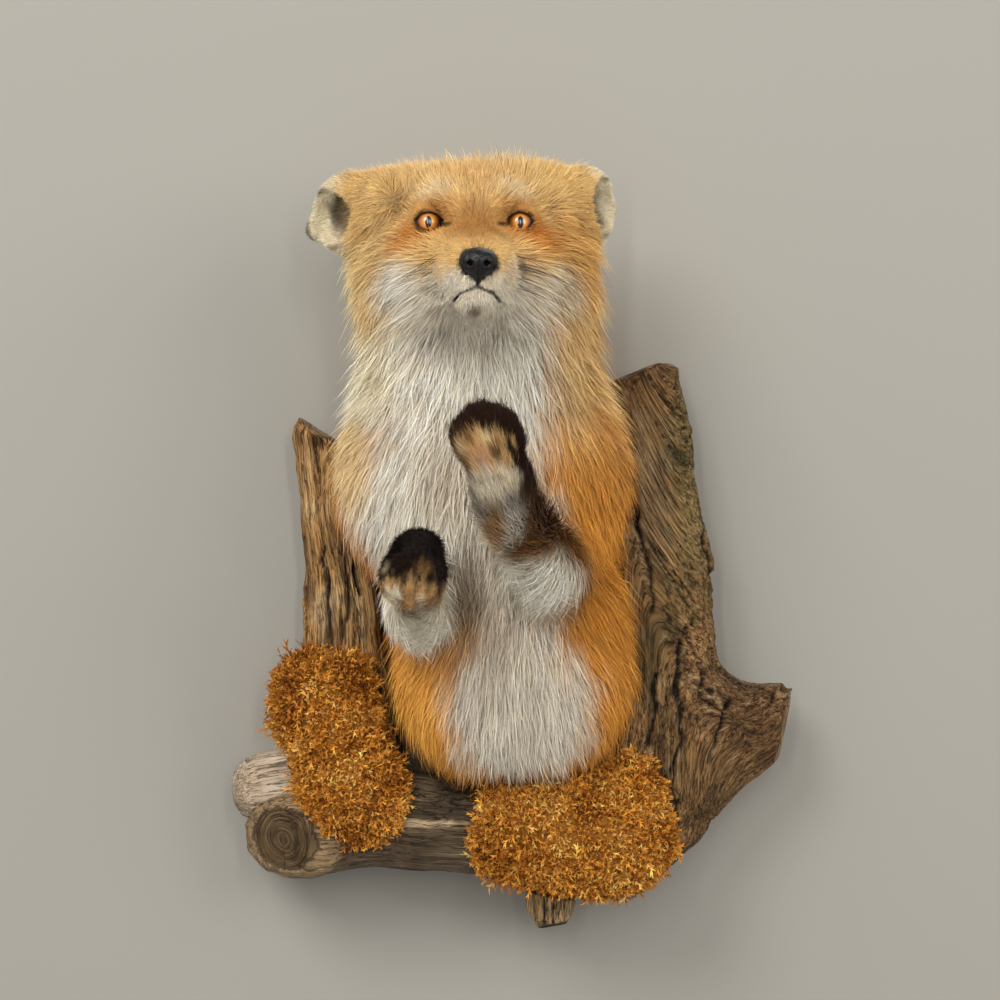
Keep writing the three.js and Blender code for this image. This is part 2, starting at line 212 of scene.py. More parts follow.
@dataclass(frozen=True)
class Ball:
    """An ellipsoidal mass.

    Attributes:
        centre: Its middle.
        radii: Its three radii, of the flesh.
        coat: How far the fur stands over it.
    """

    centre: Triple
    radii: Triple
    coat: float = 0.0

    def distance(self, points: Array, furred: float) -> Array:
        """Each point's distance to the mass, with a share of its coat on."""
        radii = np.array(self.radii) + self.coat * furred
        scaled = (points - np.array(self.centre)) / radii
        length = np.sqrt((scaled**2).sum(axis=1))
        slope = np.sqrt(((scaled / radii) ** 2).sum(axis=1))
        return np.where(slope < 1e-9, -radii.min(), length * (length - 1.0) / np.maximum(slope, 1e-9))


@dataclass(frozen=True)
class Limb:
    """A mass that tapers from one round end to the other.

    Attributes:
        start: The middle of the first end.
        start_radius: The radius there, of the flesh.
        end: The middle of the other end.
        end_radius: The radius there.
        coat: How far the fur stands over it.
        depth: Its thickness along Y over its width.
    """

    start: Triple
    start_radius: float
    end: Triple
    end_radius: float
    coat: float = 0.0
    depth: float = 1.0

    def distance(self, points: Array, furred: float) -> Array:
        """Each point's distance to the mass, with a share of its coat on."""
        squash = np.array([1.0, 1.0 / self.depth, 1.0])
        along = (np.array(self.end) - np.array(self.start)) * squash
        offset = (points - np.array(self.start)) * squash
        share = np.clip(offset @ along / (along @ along), 0.0, 1.0)
        radius = self.start_radius + (self.end_radius - self.start_radius) * share + self.coat * furred
        gap = np.linalg.norm(offset - share[:, None] * along, axis=1) - radius
        return gap * min(1.0, self.depth)


Mass = Ball | Limb


def joined(fillet: float, distances: Sequence[Array]) -> Array:
    """The union of several distances, with a fillet of about the given size in each corner."""
    least = distances[0]
    for other in distances[1:]:
        overlap = np.maximum(fillet - np.abs(least - other), 0.0) / fillet
        least = np.minimum(least, other) - overlap * overlap * fillet / 4.0
    return least


def mirrored(mass: Mass) -> Mass:
    """The same mass on the other side of the plane X = 0."""
    if isinstance(mass, Ball):
        x, y, z = mass.centre
        return Ball((-x, y, z), mass.radii, mass.coat)
    (ax, ay, az), (bx, by, bz) = mass.start, mass.end
    return Limb((-ax, ay, az), mass.start_radius, (-bx, by, bz), mass.end_radius, mass.coat, mass.depth)


def pair(mass: Mass) -> list[Mass]:
    """A mass and its mirror image."""
    return [mass, mirrored(mass)]


@dataclass(frozen=True)
class Place:
    """A frame of its own for a sub-assembly: rows of points are turned into it and back.

    Attributes:
        origin: Where the frame stands.
        axes: Its three axes as the columns of a matrix.
    """

    origin: Array
    axes: Array

    def inside(self, points: Array) -> Array:
        """Points of the whole object, seen in this frame."""
        return (points - self.origin) @ self.axes

    def outside(self, points: Array) -> Array:
        """Points of this frame, seen in the whole object."""
        return points @ self.axes.T + self.origin

    def turned(self, directions: Array) -> Array:
        """Directions of this frame, seen in the whole object."""
        return directions @ self.axes.T


def head_place() -> Place:
    """The head's frame: it stands midway between the eyes, with -Y forwards."""
    yaw = Matrix.Rotation(math.radians(HEAD_YAW), 3, "Z")
    pitch = Matrix.Rotation(math.radians(-HEAD_PITCH), 3, "X")
    return Place(EYES, np.array(yaw @ pitch))


def aimed_place(origin: Array, along: Array, back: Array) -> Place:
    """A frame with +Z along one direction and +Y as near as can be to another."""
    z = unit(np.array(along, dtype=float))
    y = np.array(back, dtype=float)
    y = unit(y - z * (y @ z))
    return Place(np.array(origin, dtype=float), np.stack([np.cross(y, z), y, z], axis=1))


HEAD = head_place()


@dataclass(frozen=True)
class Ear:
    """An ear, drawn in its own frame with +Z towards its tip and its hollow facing -Y.

    Attributes:
        root: The middle of its root, in the head's frame.
        tip: A point that it aims at.
        hollow: The way that its hollow faces.
        length: From its root to its tip.
        root_width: Its radius at the root.
        width: Its radius where it is widest.
        wall: How thick its shell is.
        widest: How far from the root it is widest.
        mouth: The middle of the cup's opening.
    """

    root: Triple
    tip: Triple
    hollow: Triple
    length: float = 76.0
    root_width: float = 13.0
    width: float = 20.5
    wall: float = 4.0
    widest: float = 28.0
    mouth: Triple = (0.0, -14.0, 24.0)

    @property
    def place(self) -> Place:
        """The ear's frame in the whole object."""
        along = np.array(self.tip) - np.array(self.root)
        local = aimed_place(np.array(self.root), along, -np.array(self.hollow))
        return Place(HEAD.outside(local.origin[None])[0], HEAD.axes @ local.axes)

    def depth(self, points: Array) -> Array:
        """How deep the coat is along the ear: long about its root and short over its tip."""
        local = self.place.inside(points)
        return 2.5 + 4.5 * smoothstep(40.0, 14.0, local[:, 2]) * smoothstep(-6.0, 6.0, local[:, 1])

    def mouth_share(self, points: Array) -> Array:
        """How near the open mouth of the ear's cup each point lies, from 0 to 1."""
        gap = np.linalg.norm(self.place.inside(points) - np.array(self.mouth), axis=1)
        return smoothstep(27.0, 15.0, gap)

    def distance(self, points: Array) -> Array:
        """Each point's distance to the ear's shell."""
        local = self.place.inside(points)
        inner = self.width - self.wall
        cup = [
            Limb((0, 0, -8), self.root_width, (0, 3, self.widest), self.width, 0, 0.8),
            Limb((0, 3, self.widest), self.width, (0, 10, self.length - 6), 4.5, 0, 0.8),
        ]
        hollow = [
            Limb((0, -13, 10), inner * 0.5, (0, -11, self.widest), inner, 0, 0.85),
            Limb((0, -11, self.widest), inner, (0, -1, self.length - 10), 3, 0, 0.85),
        ]
        outer = joined(6, [mass.distance(local, 0) for mass in cup])
        return np.maximum(outer, -joined(6, [mass.distance(local, 0) for mass in hollow]))


@dataclass(frozen=True)
class Foreleg:
    """A foreleg from shoulder to wrist with the paw on its end.

    Attributes:
        shoulder: The middle of the shoulder joint, deep in the chest.
        elbow: The middle of the elbow.
        wrist: The middle of the wrist.
        paw_origin: Where the paw starts.
        toes: The direction that its toes point in.
        back: The direction that the back of the paw faces.
        toe_spread: From the middle of one toe to the next.
        wrist_coat: How deep the coat is on the forearm.
        elbow_radius: The elbow's radius.
        heel: The radius of the paw where it starts.
    """

    shoulder: Triple
    elbow: Triple
    wrist: Triple
    paw_origin: Triple
    toes: Triple
    back: Triple
    toe_spread: float = 7.6
    wrist_coat: float = 11.5
    elbow_radius: float = 12.0
    heel: float = 14.0

    @property
    def paw(self) -> Place:
        """The paw's frame, with -Z towards the toes and +Y out of the back of the paw."""
        return aimed_place(np.array(self.paw_origin), -np.array(self.toes), np.array(self.back))

    def leg_distances(self, points: Array, furred: float) -> list[Array]:
        """Each point's distance to the upper arm and to the forearm."""
        upper = Limb(self.shoulder, 10, self.elbow, self.elbow_radius, 10)
        lower = Limb(self.elbow, self.elbow_radius, self.wrist, 9, self.wrist_coat)
        return [upper.distance(points, furred), lower.distance(points, furred)]

    def paw_distance(self, points: Array, furred: float) -> Array:
        """Each point's distance to the palm and its four toes."""
        local = self.paw.inside(points)
        masses: list[Mass] = [Limb((0, 2, 0), self.heel, (0, 0, -20), 12.5, 5, 0.8)]
        for place in TOE_PLACES:
            reach = -33.0 if abs(place) > 1 else -38.0
            x = place * self.toe_spread
            masses.append(Limb((x, 0, -22), 6, (x * 1.1, -4, reach), 5, 3.5))
        return joined(5.0, [mass.distance(local, furred) for mass in masses])


LEFT_EAR = Ear((57, 36, 16), (92, 94, 24), (0.55, -0.82, -0.1))
RIGHT_EAR = Ear((-59, 28, 15), (-98, 78, 8), (-0.30, -0.95, -0.10))
LEFT_LEG = Foreleg(
    shoulder=(40, -78, 66),
    elbow=(32, -138, 18),
    wrist=(4, -208, 56),
    paw_origin=(1, -216, 70),
    toes=(-0.3, -0.22, 1),
    back=(0.25, 0.95, 0.2),
)
RIGHT_LEG = Foreleg(
    shoulder=(-56, -76, 32),
    elbow=(-47, -134, -6),
    wrist=(-47, -203, 16),
    paw_origin=(-46, -208, 30),
    toes=(-0.08, -0.88, -0.42),
    back=(0, -0.4, 1),
    toe_spread=6.2,
    wrist_coat=5.5,
    elbow_radius=10.5,
    heel=10.8,
)
LEGS = (LEFT_LEG, RIGHT_LEG)


@dataclass
class Fox:
    """The animal's form: where its flesh ends and where its coat ends.

    Attributes:
        skull: The masses of the head, in the head's frame.
        trunk: The masses of the neck, chest and belly.
        mouth: The closed lips, from the middle to the viewer's right corner, in the head's frame.
    """

    skull: list[Mass] = field(
        default_factory=lambda: [
            Ball((0, 36, 3), (37, 46, 30), 10),  # cranium
            Ball((0, 4, 6), (31, 24, 20), 4),  # brow
            Ball((-42, 42, 17), (21, 22, 17), 9),  # roots of the ears
            Ball((40, 42, 19), (21, 22, 17), 9),
            *pair(Ball((26, 26, -18), (23, 36, 26), 8)),  # cheeks
            *pair(Ball((36, 52, -18), (24, 25, 35), 15)),  # ruff
            Limb((0, -6, -16), 19, (0, -52, -29), 15.0, 1.8),  # muzzle
            *pair(Ball((16, -12, -31), (9, 18, 14), 7)),  # fullness before the cheeks
            *pair(Ball((9, -50, -33.5), (12.8, 16.8, 11.5), 1.8)),  # whisker pads
            Limb((0, 12, -45), 20, (0, -48, -47), 10.2, 2.8),  # lower jaw
            Ball((0, 40, -46), (33, 35, 29), 15),  # throat
        ]
    )
    trunk: list[Mass] = field(
        default_factory=lambda: [
            Limb((-13, -100, 192), 50, (-12, -78, 100), 56, 25),  # neck
            Ball((-8, -80, 72), (62, 56, 66), 24),  # chest
            Ball((8, -68, -16), (55, 54, 60), 21),  # belly
            Ball((-12, -66, -57), (36, 44, 40), 17),  # waist
            Ball((29, -66, -57), (37, 44, 40), 17),
            Ball((40, -98, 72), (24, 26, 40), 13),  # left shoulder
            Ball((-64, -96, 68), (22, 26, 36), 14),  # right shoulder
        ]
    )
    mouth: list[Triple] = field(
        default_factory=lambda: [
            (0, -66, -43.5),
            (8.5, -62, -47),
            (14, -54, -52),
            (20, -44, -53.5),
            (25, -32, -51),
        ]
    )

    def head(self, points: Array, furred: float) -> Array:
        """Each point's distance to the head, without its ears and with its sockets scooped out."""
        local = HEAD.inside(points)
        whole = joined(14, [mass.distance(local, furred) for mass in self.skull])
        sockets = [mass.distance(local, 0.0) for mass in pair(Ball((26.0, -17.0, -0.5), (13.0, 14.0, 9.5)))]
        return -joined(9, [-whole, *sockets])

    def body(self, points: Array, furred: float) -> Array:
        """Each point's distance to the neck, chest and belly."""
        return joined(22, [mass.distance(points, furred) for mass in self.trunk])

    def eye_centres(self) -> list[Array]:
        """The middles of the viewer's left and right eyeballs, in the head's frame."""
        return [np.array([side * EYE_SPACING / 2.0, EYE_SETBACK, 0.0]) for side in (-1, 1)]

    def lids(self, local: Array) -> tuple[Array, Array]:
        """The lids' balls and the almonds between the lids, as distances in the head's frame."""
        shell = np.full(len(local), 1e3)
        opening = np.full(len(local), 1e3)
        for side, centre in zip((-1, 1), self.eye_centres()):
            offset = local - centre
            tilt = math.radians(LID_TILT) * side
            across = offset[:, 0] * math.cos(tilt) + offset[:, 2] * math.sin(tilt)
            height = offset[:, 2] * math.cos(tilt) - offset[:, 0] * math.sin(tilt)
            reach = np.where(across * side < 0, LID_INNER, LID_OUTER)
            almond = np.abs(height - 0.3) - LID_HALF_HEIGHT * (1.0 - (across / reach) ** 2)
            almond = np.where(np.abs(across) > reach, np.abs(across) - reach + np.abs(height), almond)
            shell = np.minimum(shell, np.linalg.norm(offset, axis=1) - (EYE_RADIUS + LID_THICKNESS))
            opening = np.minimum(opening, np.maximum(almond, offset[:, 1] + 3.0))
        return shell, opening

    def eye_gap(self, local: Array) -> tuple[Array, Array]:
        """How far each point of the head is from the nearer eye, and the direction away from it."""
        offsets = np.stack([local - centre for centre in self.eye_centres()])
        gaps = np.linalg.norm(offsets, axis=2)
        nearer = gaps.argmin(axis=0)
        rows = np.arange(len(local))
        return gaps[nearer, rows], unit(offsets[nearer, rows])

    def mouth_gap(self, local: Array) -> Array:
        """Each point's distance to the closed lips and to the groove under the nose, in the head's frame."""
        folded = local.copy()
        folded[:, 0] = np.abs(folded[:, 0])
        path = [np.array(point) for point in self.mouth]
        runs = list(zip(path[:-1], path[1:])) + [(path[0] + np.array(PHILTRUM_RISE), path[0])]
        return np.min([run_gap(folded, start, end) for start, end in runs], axis=0)

    def settle_mouth(self) -> None:
        """Moves the points of the mouth's line onto the flesh of the muzzle."""
        path = HEAD.outside(np.array(self.mouth, dtype=float))
        path = HEAD.inside(settled(lambda points: self.head(points, 0.0), path, 6))
        path[0, 0] = 0.0
        self.mouth = [tuple(point) for point in path]

    def flesh(self, points: Array) -> Array:
        """Each point's distance to the skin, negative inside."""
        head = self.head(points, 0.0)
        local = HEAD.inside(points)
        near = np.abs(local).max(axis=1) < 60.0
        shell, opening = self.lids(local[near])
        head[near] = np.maximum(joined(4.0, [head[near], shell]), -opening)
        limbs = [joined(10, [*leg.leg_distances(points, 0.0), leg.paw_distance(points, 0.0)]) for leg in LEGS]
        ears = [ear.distance(points) for ear in (LEFT_EAR, RIGHT_EAR)]
        return joined(6, [joined(20, [head, self.body(points, 0.0)]), *limbs, *ears])

    def furred(self, points: Array) -> Array:
        """Each point's distance to the tips of the coat."""
        whole = joined(20, [self.head(points, 1.0), self.body(points, 1.0)])
        limbs = [joined(8, [*leg.leg_distances(points, 1.0), leg.paw_distance(points, 1.0)]) for leg in LEGS]
        ears = [ear.distance(points) - ear.depth(points) for ear in (LEFT_EAR, RIGHT_EAR)]
        return joined(5, [whole, *limbs, *ears])

    def shares(self, points: Array) -> dict[str, Array]:
        """How much of each point belongs to each part of the animal, all adding to one."""
        distances = {
            "head": self.head(points, 0.5) - 2.0,
            "trunk": self.body(points, 0.5),
            "ear_left": LEFT_EAR.distance(points) - 1.0,
            "ear_right": RIGHT_EAR.distance(points) - 1.0,
        }
        for name, leg in zip(("left", "right"), LEGS):
            upper, lower = leg.leg_distances(points, 0.3)
            distances["upper_" + name] = upper + 3.0
            distances["lower_" + name] = lower
            distances["paw_" + name] = leg.paw_distance(points, 0.5) - 1.0
        stacked = np.stack(list(distances.values()))
        weights = np.exp(-(stacked - stacked.min(axis=0)) / 4.0)
        weights /= weights.sum(axis=0)
        return dict(zip(distances, weights))


def settled(distance: Callable[[Array], Array], points: Array, rounds: int, reach: float = 0.25) -> Array:
    """Points moved along a field's slope onto its surface.

    Args:
        distance: The field.
        points: Rows of millimetres, already near the surface.
        rounds: How many steps are taken.
        reach: The step over which the slope is measured.

    Returns:
        The moved rows.
    """
    points = points.copy()
    for _ in range(rounds):
        here = distance(points)
        slope = np.stack([(distance(points + step) - here) / reach for step in np.eye(3) * reach], axis=1)
        points -= slope * (here / np.maximum((slope**2).sum(axis=1), 0.25))[:, None]
    return points


@dataclass
class VoxelField:
    """Attributes:
        low: The grid's lowest corner.
        high: The grid's highest corner.
        cell: The grid's spacing.
        values: The distance at each point of the grid.
        slopes: Its slope there.
    """

    low: Triple
    high: Triple
    cell: float
    values: Array = field(init=False, repr=False)
    slopes: Array = field(init=False, repr=False)

    def fill(self, distance: Callable[[Array], Array], band: float) -> None:
        """Works the field out at every grid point, roughly outside a band about its surface.

        Args:
            distance: The field.
            band: How far from the surface it is exact.
        """
        ends = list(zip(self.low, self.high))
        axes = [np.arange(low, high + self.cell, self.cell) for low, high in ends]
        rough = VoxelField(self.low, self.high, self.cell * 4.0)
        wide = [np.arange(low, high + rough.cell * 2, rough.cell) for low, high in ends]
        corners = np.stack(np.meshgrid(*wide, indexing="ij"), axis=-1)
        rough.values = distance(corners.reshape(-1, 3)).reshape(corners.shape[:3])
        rough.slopes = np.zeros((*rough.values.shape, 3))
        layers = []
        for x in axes[0]:
            y, z = np.meshgrid(axes[1], axes[2], indexing="ij")
            points = np.stack([np.full(y.size, x), y.ravel(), z.ravel()], axis=1)
            layer = rough.look_up(points)[0]
            near = np.abs(layer) < band + rough.cell
            layer[near] = distance(points[near])
            layers.append(layer.reshape(y.shape))
        self.values = np.stack(layers).astype(np.float32)
        self.slopes = np.stack(np.gradient(self.values, self.cell), axis=-1).astype(np.float32)

    def look_up(self, points: Array) -> tuple[Array, Array]:
        """The distance and its slope at each point, between the grid points around it."""
        count = np.array(self.values.shape)
        scaled = np.clip((points - np.array(self.low)) / self.cell, 0.0, count - 1.001)
        cell = scaled.astype(np.int64)
        inside = scaled - cell
        distance = np.zeros(len(points))
        slope = np.zeros((len(points), 3))
        for corner in np.ndindex(2, 2, 2):
            offset = np.array(corner)
            weight = np.where(offset == 1, inside, 1.0 - inside).prod(axis=1)
            index = tuple((cell + offset).T)
            distance += weight * self.values[index]
            slope += weight[:, None] * self.slopes[index]
        return distance, unit(slope)

    def surface(self) -> tuple[Array, Array]:
        """The field's surface as points in millimetres and quads."""
        grid = openvdb.FloatGrid(float(self.cell * 4))
        grid.copyFromArray(self.values)
        points, quads = grid.convertToQuads(0.0)
        return points * self.cell + np.array(self.low), quads


# ---- Meshes ---------------------------------------------------------------------------------------------


def new_object(name: str, points: Array, sizes: Array, corners: Array) -> bpy.types.Object:
    """An object made from arrays, at the origin.

    Args:
        name: The piece's name.
        points: Rows of millimetres.
        sizes: How many corners each face has.
        corners: The vertex of every corner, face after face.

    Returns:
        The linked object.
    """
    mesh = bpy.data.meshes.new(name)
    mesh.vertices.add(len(points))
    mesh.vertices.foreach_set("co", (points * MM).astype(np.float32).ravel())
    mesh.loops.add(len(corners))
    mesh.loops.foreach_set("vertex_index", corners.astype(np.int32))
    mesh.polygons.add(len(sizes))
    mesh.polygons.foreach_set("loop_start", (np.cumsum(sizes) - sizes).astype(np.int32))
    mesh.update(calc_edges=True)
    mesh.validate()
    made = bpy.data.objects.new(name, mesh)
    bpy.context.scene.collection.objects.link(made)
    return made


def rows_of(items: bpy.types.bpy_prop_collection, name: str) -> Array:
    """A vector of every item of a mesh's collection, as rows."""
    flat = np.empty(len(items) * 3, dtype=np.float32)
    items.foreach_get(name, flat)
    return flat.reshape(-1, 3).astype(np.float64)


def vertex_points(piece: bpy.types.Object) -> Array:
    """A piece's vertices as rows of millimetres."""
    return rows_of(piece.data.vertices, "co") / MM


def vertex_normals(piece: bpy.types.Object) -> Array:
    """A piece's smooth normals, a row for each vertex."""
    return rows_of(piece.data.vertex_normals, "vector")


def face_centres(piece: bpy.types.Object) -> Array:
    """The middle of each face, in millimetres."""
    return rows_of(piece.data.polygons, "center") / MM


def move_vertices(piece: bpy.types.Object, points: Array) -> None:
    """Puts a piece's vertices at rows of millimetres."""
    piece.data.vertices.foreach_set("co", (points * MM).astype(np.float32).ravel())
    piece.data.update()


def paint(piece: bpy.types.Object, name: str, colours: Array) -> None:
    """Writes rows of linear colour or of coordinates to a point attribute."""
    layer = piece.data.attributes.new(name, "FLOAT_COLOR", "POINT")
    rows = np.ones((len(colours), 4), dtype=np.float32)
    rows[:, : colours.shape[1]] = colours
    layer.data.foreach_set("color", rows.ravel())


def smooth(piece: bpy.types.Object) -> None:
    """Shades a piece's faces smooth."""
    piece.data.polygons.foreach_set("use_smooth", np.ones(len(piece.data.polygons), dtype=bool))
    piece.data.update()


def select_only(piece: bpy.types.Object) -> None:
    """Makes a piece the only selected object and the active one."""
    for other in bpy.context.view_layer.objects:
        other.select_set(False)
    piece.select_set(True)
    bpy.context.view_layer.objects.active = piece


def apply_modifier(piece: bpy.types.Object, kind: str, **settings: object) -> None:
    """Adds a modifier with its settings and applies it."""
    select_only(piece)
    modifier = piece.modifiers.new(kind.title(), kind)
    for name, value in settings.items():
        setattr(modifier, name, value)
    bpy.ops.object.modifier_apply(modifier=modifier.name)


def fine_copy(node: str, name: str, cell: float) -> bpy.types.Object:
    """A merged, finely remeshed copy of a CAD node's mesh, to start the piece that stands for it."""
    source = bpy.data.objects[node]
    made = bpy.data.objects.new(name, source.data.copy())
    made.data.materials.clear()
    bpy.context.scene.collection.objects.link(made)
    select_only(made)
    bpy.ops.object.mode_set(mode="EDIT")
    bpy.ops.mesh.select_all(action="SELECT")
    bpy.ops.mesh.remove_doubles(threshold=0.01 * MM)
    bpy.ops.object.mode_set(mode="OBJECT")
    apply_modifier(made, "REMESH", mode="VOXEL", voxel_size=cell * MM, adaptivity=0.0)
    apply_modifier(made, "SMOOTH", factor=0.6, iterations=6)
    return made


def finish_piece(
    piece: bpy.types.Object, material: bpy.types.Material, slot: str, nodes: Sequence[str] = ()
) -> None:
    """Dresses a piece, rides it on the root body and hides the nodes that it stands for."""
    piece.data.materials.clear()
    piece.data.materials.append(material)
    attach(piece, "root")
    if nodes:
        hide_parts(*nodes)
    LOG.info("%s: %d faces", piece.name, len(piece.data.polygons))


# ---- Shaders --------------------------------------------------------------------------------------------


class Value:
    """A socket that can be reckoned with: every expression adds its Math nodes."""

    def __init__(self, shader: "Shader", socket: bpy.types.NodeSocket) -> None:
        """Wraps a socket of a shader's tree."""
        self.shader = shader
        self.socket = socket

    def _math(self, operation: str, first: object, second: object = 0.0) -> "Value":
        """One Math node on two values."""
        return self.shader.node("ShaderNodeMath", {"operation": operation}, {0: first, 1: second})

    def __add__(self, other: object) -> "Value":
        """The sum."""
        return self._math("ADD", self, other)

    __radd__ = __add__

    def __mul__(self, other: object) -> "Value":
        """The product."""
        return self._math("MULTIPLY", self, other)

    __rmul__ = __mul__

    def __sub__(self, other: object) -> "Value":
        """The difference."""
        return self._math("SUBTRACT", self, other)

    def __rsub__(self, other: object) -> "Value":
        """The difference, the other way round."""
        return self._math("SUBTRACT", other, self)

    def __pow__(self, other: object) -> "Value":
        """The power."""
        return self._math("POWER", self, other)

    def ramp(self, low: float, high: float) -> "Value":
        """A smooth rise from 0 at low to 1 at high."""
        inputs = {"Value": self, "From Min": low, "From Max": high}
        return self.shader.node("ShaderNodeMapRange", {"interpolation_type": "SMOOTHSTEP"}, inputs)

    def along(self, axis: int) -> "Value":
        """The part of a vector along one axis."""
        return self.shader.node("ShaderNodeSeparateXYZ", {}, {0: self}, axis)


class Shader:
    """A material's node tree, built one node at a time."""

    def __init__(self, name: str) -> None:
        """Starts a material with only its output."""
        self.material = bpy.data.materials.new(name)
        self.material.use_nodes = True
        self.tree = self.material.node_tree
        self.tree.nodes.clear()
        self.output = self.tree.nodes.new("ShaderNodeOutputMaterial")

    def node(self, kind: str, settings: dict, inputs: dict, output: int | str = 0) -> Value:
        """Adds a node.

        Args:
            kind: The node's type.
            settings: Properties that are set before its sockets are.
            inputs: A number, a colour or a Value for each socket's name or place.
            output: Which output is wanted.

        Returns:
            The wanted output.
        """
        made = self.tree.nodes.new(kind)
        for name, setting in settings.items():
            if name == "stops":
                self._stops(made.color_ramp, setting)
            else:
                setattr(made, name, setting)
        for name, value in inputs.items():
            socket = made.inputs[name]
            if isinstance(value, Value):
                self.tree.links.new(value.socket, socket)
            elif isinstance(value, str):
                socket.default_value = (*linear(value), 1.0)
            else:
                socket.default_value = value
        return Value(self, made.outputs[output])

    def _stops(self, ramp: bpy.types.ColorRamp, stops: Sequence[tuple[float, str]]) -> None:
        """Sets a ramp's stops."""
        while len(ramp.elements) < len(stops):
            ramp.elements.new(0.5)
        for element, (position, colour) in zip(ramp.elements, stops):
            element.position = position
            element.color = (*linear(colour), 1.0)

    def attribute(self, name: str, output: str = "Vector") -> Value:
        """A piece's own attribute."""
        return self.node("ShaderNodeAttribute", {"attribute_name": name}, {}, output)

    def place(self) -> Value:
        """Object coordinates."""
        return self.node("ShaderNodeTexCoord", {}, {}, "Object")

    def scaled(self, vector: Value, scale: Triple) -> Value:
        """A vector stretched along its axes."""
        return self.node("ShaderNodeVectorMath", {"operation": "MULTIPLY"}, {0: vector, 1: scale})

    def noise(self, vector: Value, scale: float, detail: float = 3.0, rough: float = 0.55) -> Value:
        """Noise of 0 to 1."""
        inputs = {"Vector": vector, "Scale": scale, "Detail": detail, "Roughness": rough}
        return self.node("ShaderNodeTexNoise", {}, inputs, "Fac")

    def cells(self, vector: Value, scale: float) -> Value:
        """Distance to the nearest of scattered points."""
        return self.node("ShaderNodeTexVoronoi", {}, {"Vector": vector, "Scale": scale}, "Distance")

    def painted(self) -> Value:
        """The colour that is painted on the fur or the moss."""
        return self.attribute("Coat", "Color")

    def colours(self, value: Value, stops: Sequence[tuple[float, str]]) -> Value:
        """A value turned into colours."""
        return self.node("ShaderNodeValToRGB", {"stops": stops}, {"Fac": value}, "Color")

    def mix(self, share: object, below: object, above: object, blend: str = "MIX") -> Value:
        """One colour mixed into another."""
        settings = {"data_type": "RGBA", "blend_type": blend}
        return self.node("ShaderNodeMix", settings, {0: share, 6: below, 7: above}, 2)

    def bump(self, height: Value, distance: float, strength: float = 1.0) -> Value:
        """A bump of a height in metres."""
        inputs = {"Height": height, "Distance": distance, "Strength": strength}
        return self.node("ShaderNodeBump", {}, inputs, "Normal")

    def principled(self, **inputs: object) -> Value:
        """A principled surface, its sockets named with underscores."""
        named = {name.replace("_", " "): value for name, value in inputs.items()}
        return self.node("ShaderNodeBsdfPrincipled", {}, named, "BSDF")

    def closed(self, surface: Value) -> bpy.types.Material:
        """The finished material, with a surface on its output."""
        self.tree.links.new(surface.socket, self.output.inputs["Surface"])
        return self.material

    def surface(self, **inputs: object) -> bpy.types.Material:
        """The finished material, with a principled surface."""
        return self.closed(self.principled(**inputs))


@dataclass(frozen=True)
class CoatFinish:
    """Fur: its colour is painted on every tuft."""

    name: str = "Fur"

    def material(self) -> bpy.types.Material:
        """Builds the material."""
        shader = Shader(self.name)
        grain = shader.noise(shader.place(), 900.0, 2.0)
        return shader.surface(
            Base_Color=shader.mix(grain * 0.22, shader.painted(), shader.painted(), "MULTIPLY"),
            Roughness=0.62,
            Specular_IOR_Level=0.18,
            Sheen_Weight=0.04,
            Sheen_Roughness=0.4,
        )


@dataclass(frozen=True)
class SkinFinish:
    """Skin with its short underfur, in the coat's own markings."""

    name: str = "Skin"

    def material(self) -> bpy.types.Material:
        """Builds the material."""
        shader = Shader(self.name)
        place = shader.place()
        fuzz = shader.noise(place, 1400.0, 3.0)
        pores = shader.noise(place, 320.0, 4.0)
        colour = shader.mix(fuzz.ramp(0.3, 0.75) * 0.35, shader.painted(), "2a1a10", "MULTIPLY")
        bump = shader.bump(fuzz + pores, 0.0006, 0.8)
        return shader.surface(Base_Color=colour, Roughness=0.6, Specular_IOR_Level=0.25, Normal=bump)


@dataclass(frozen=True)
class EyeFinish:
    """A glass eye: an amber iris round an upright slit, under a clear front."""

    name: str = "Glass eye"

    def material(self) -> bpy.types.Material:
        """Builds the material. The Gaze attribute runs across, up and out of the eye, in eye radii."""
        shader = Shader(self.name)
        gaze = shader.attribute("Gaze")
        across, height = gaze.along(0), gaze.along(1)
        radius = (across * across + height * height) ** 0.5
        slit = ((across * 4.6) * (across * 4.6) + (height * 2.35) * (height * 2.35)) ** 0.5
        spokes = shader.noise(shader.scaled(gaze, (14.0, 14.0, 1.0)), 1.0, 4.0)
        amber = shader.colours(
            radius + (spokes - 0.5) * 0.16,
            [(0.16, "f0b566"), (0.38, "d98d3c"), (0.6, "b26a22"), (0.78, "6d3811"), (0.9, "150a05")],
        )
        colour = shader.mix(slit.ramp(1.12, 0.94), amber, "050302")
        return shader.surface(
            Base_Color=colour,
            Roughness=0.28,
            Coat_Weight=1.0,
            Coat_Roughness=0.02,
            Coat_IOR=1.52,
            IOR=1.45,
        )


@dataclass(frozen=True)
class LeatherFinish:
    """The nose's wet black leather."""

    name: str = "Nose leather"

    def material(self) -> bpy.types.Material:
        """Builds the material."""
        shader = Shader(self.name)
        place = shader.place()
        cobbles = shader.cells(place, 1150.0)
        colour = shader.mix(shader.noise(place, 260.0, 3.0).ramp(0.4, 0.7), "080707", "161313")
        bump = shader.bump(cobbles, 0.00035, 0.7)
        return shader.surface(Base_Color=colour, Roughness=0.33, Specular_IOR_Level=0.36, Normal=bump)


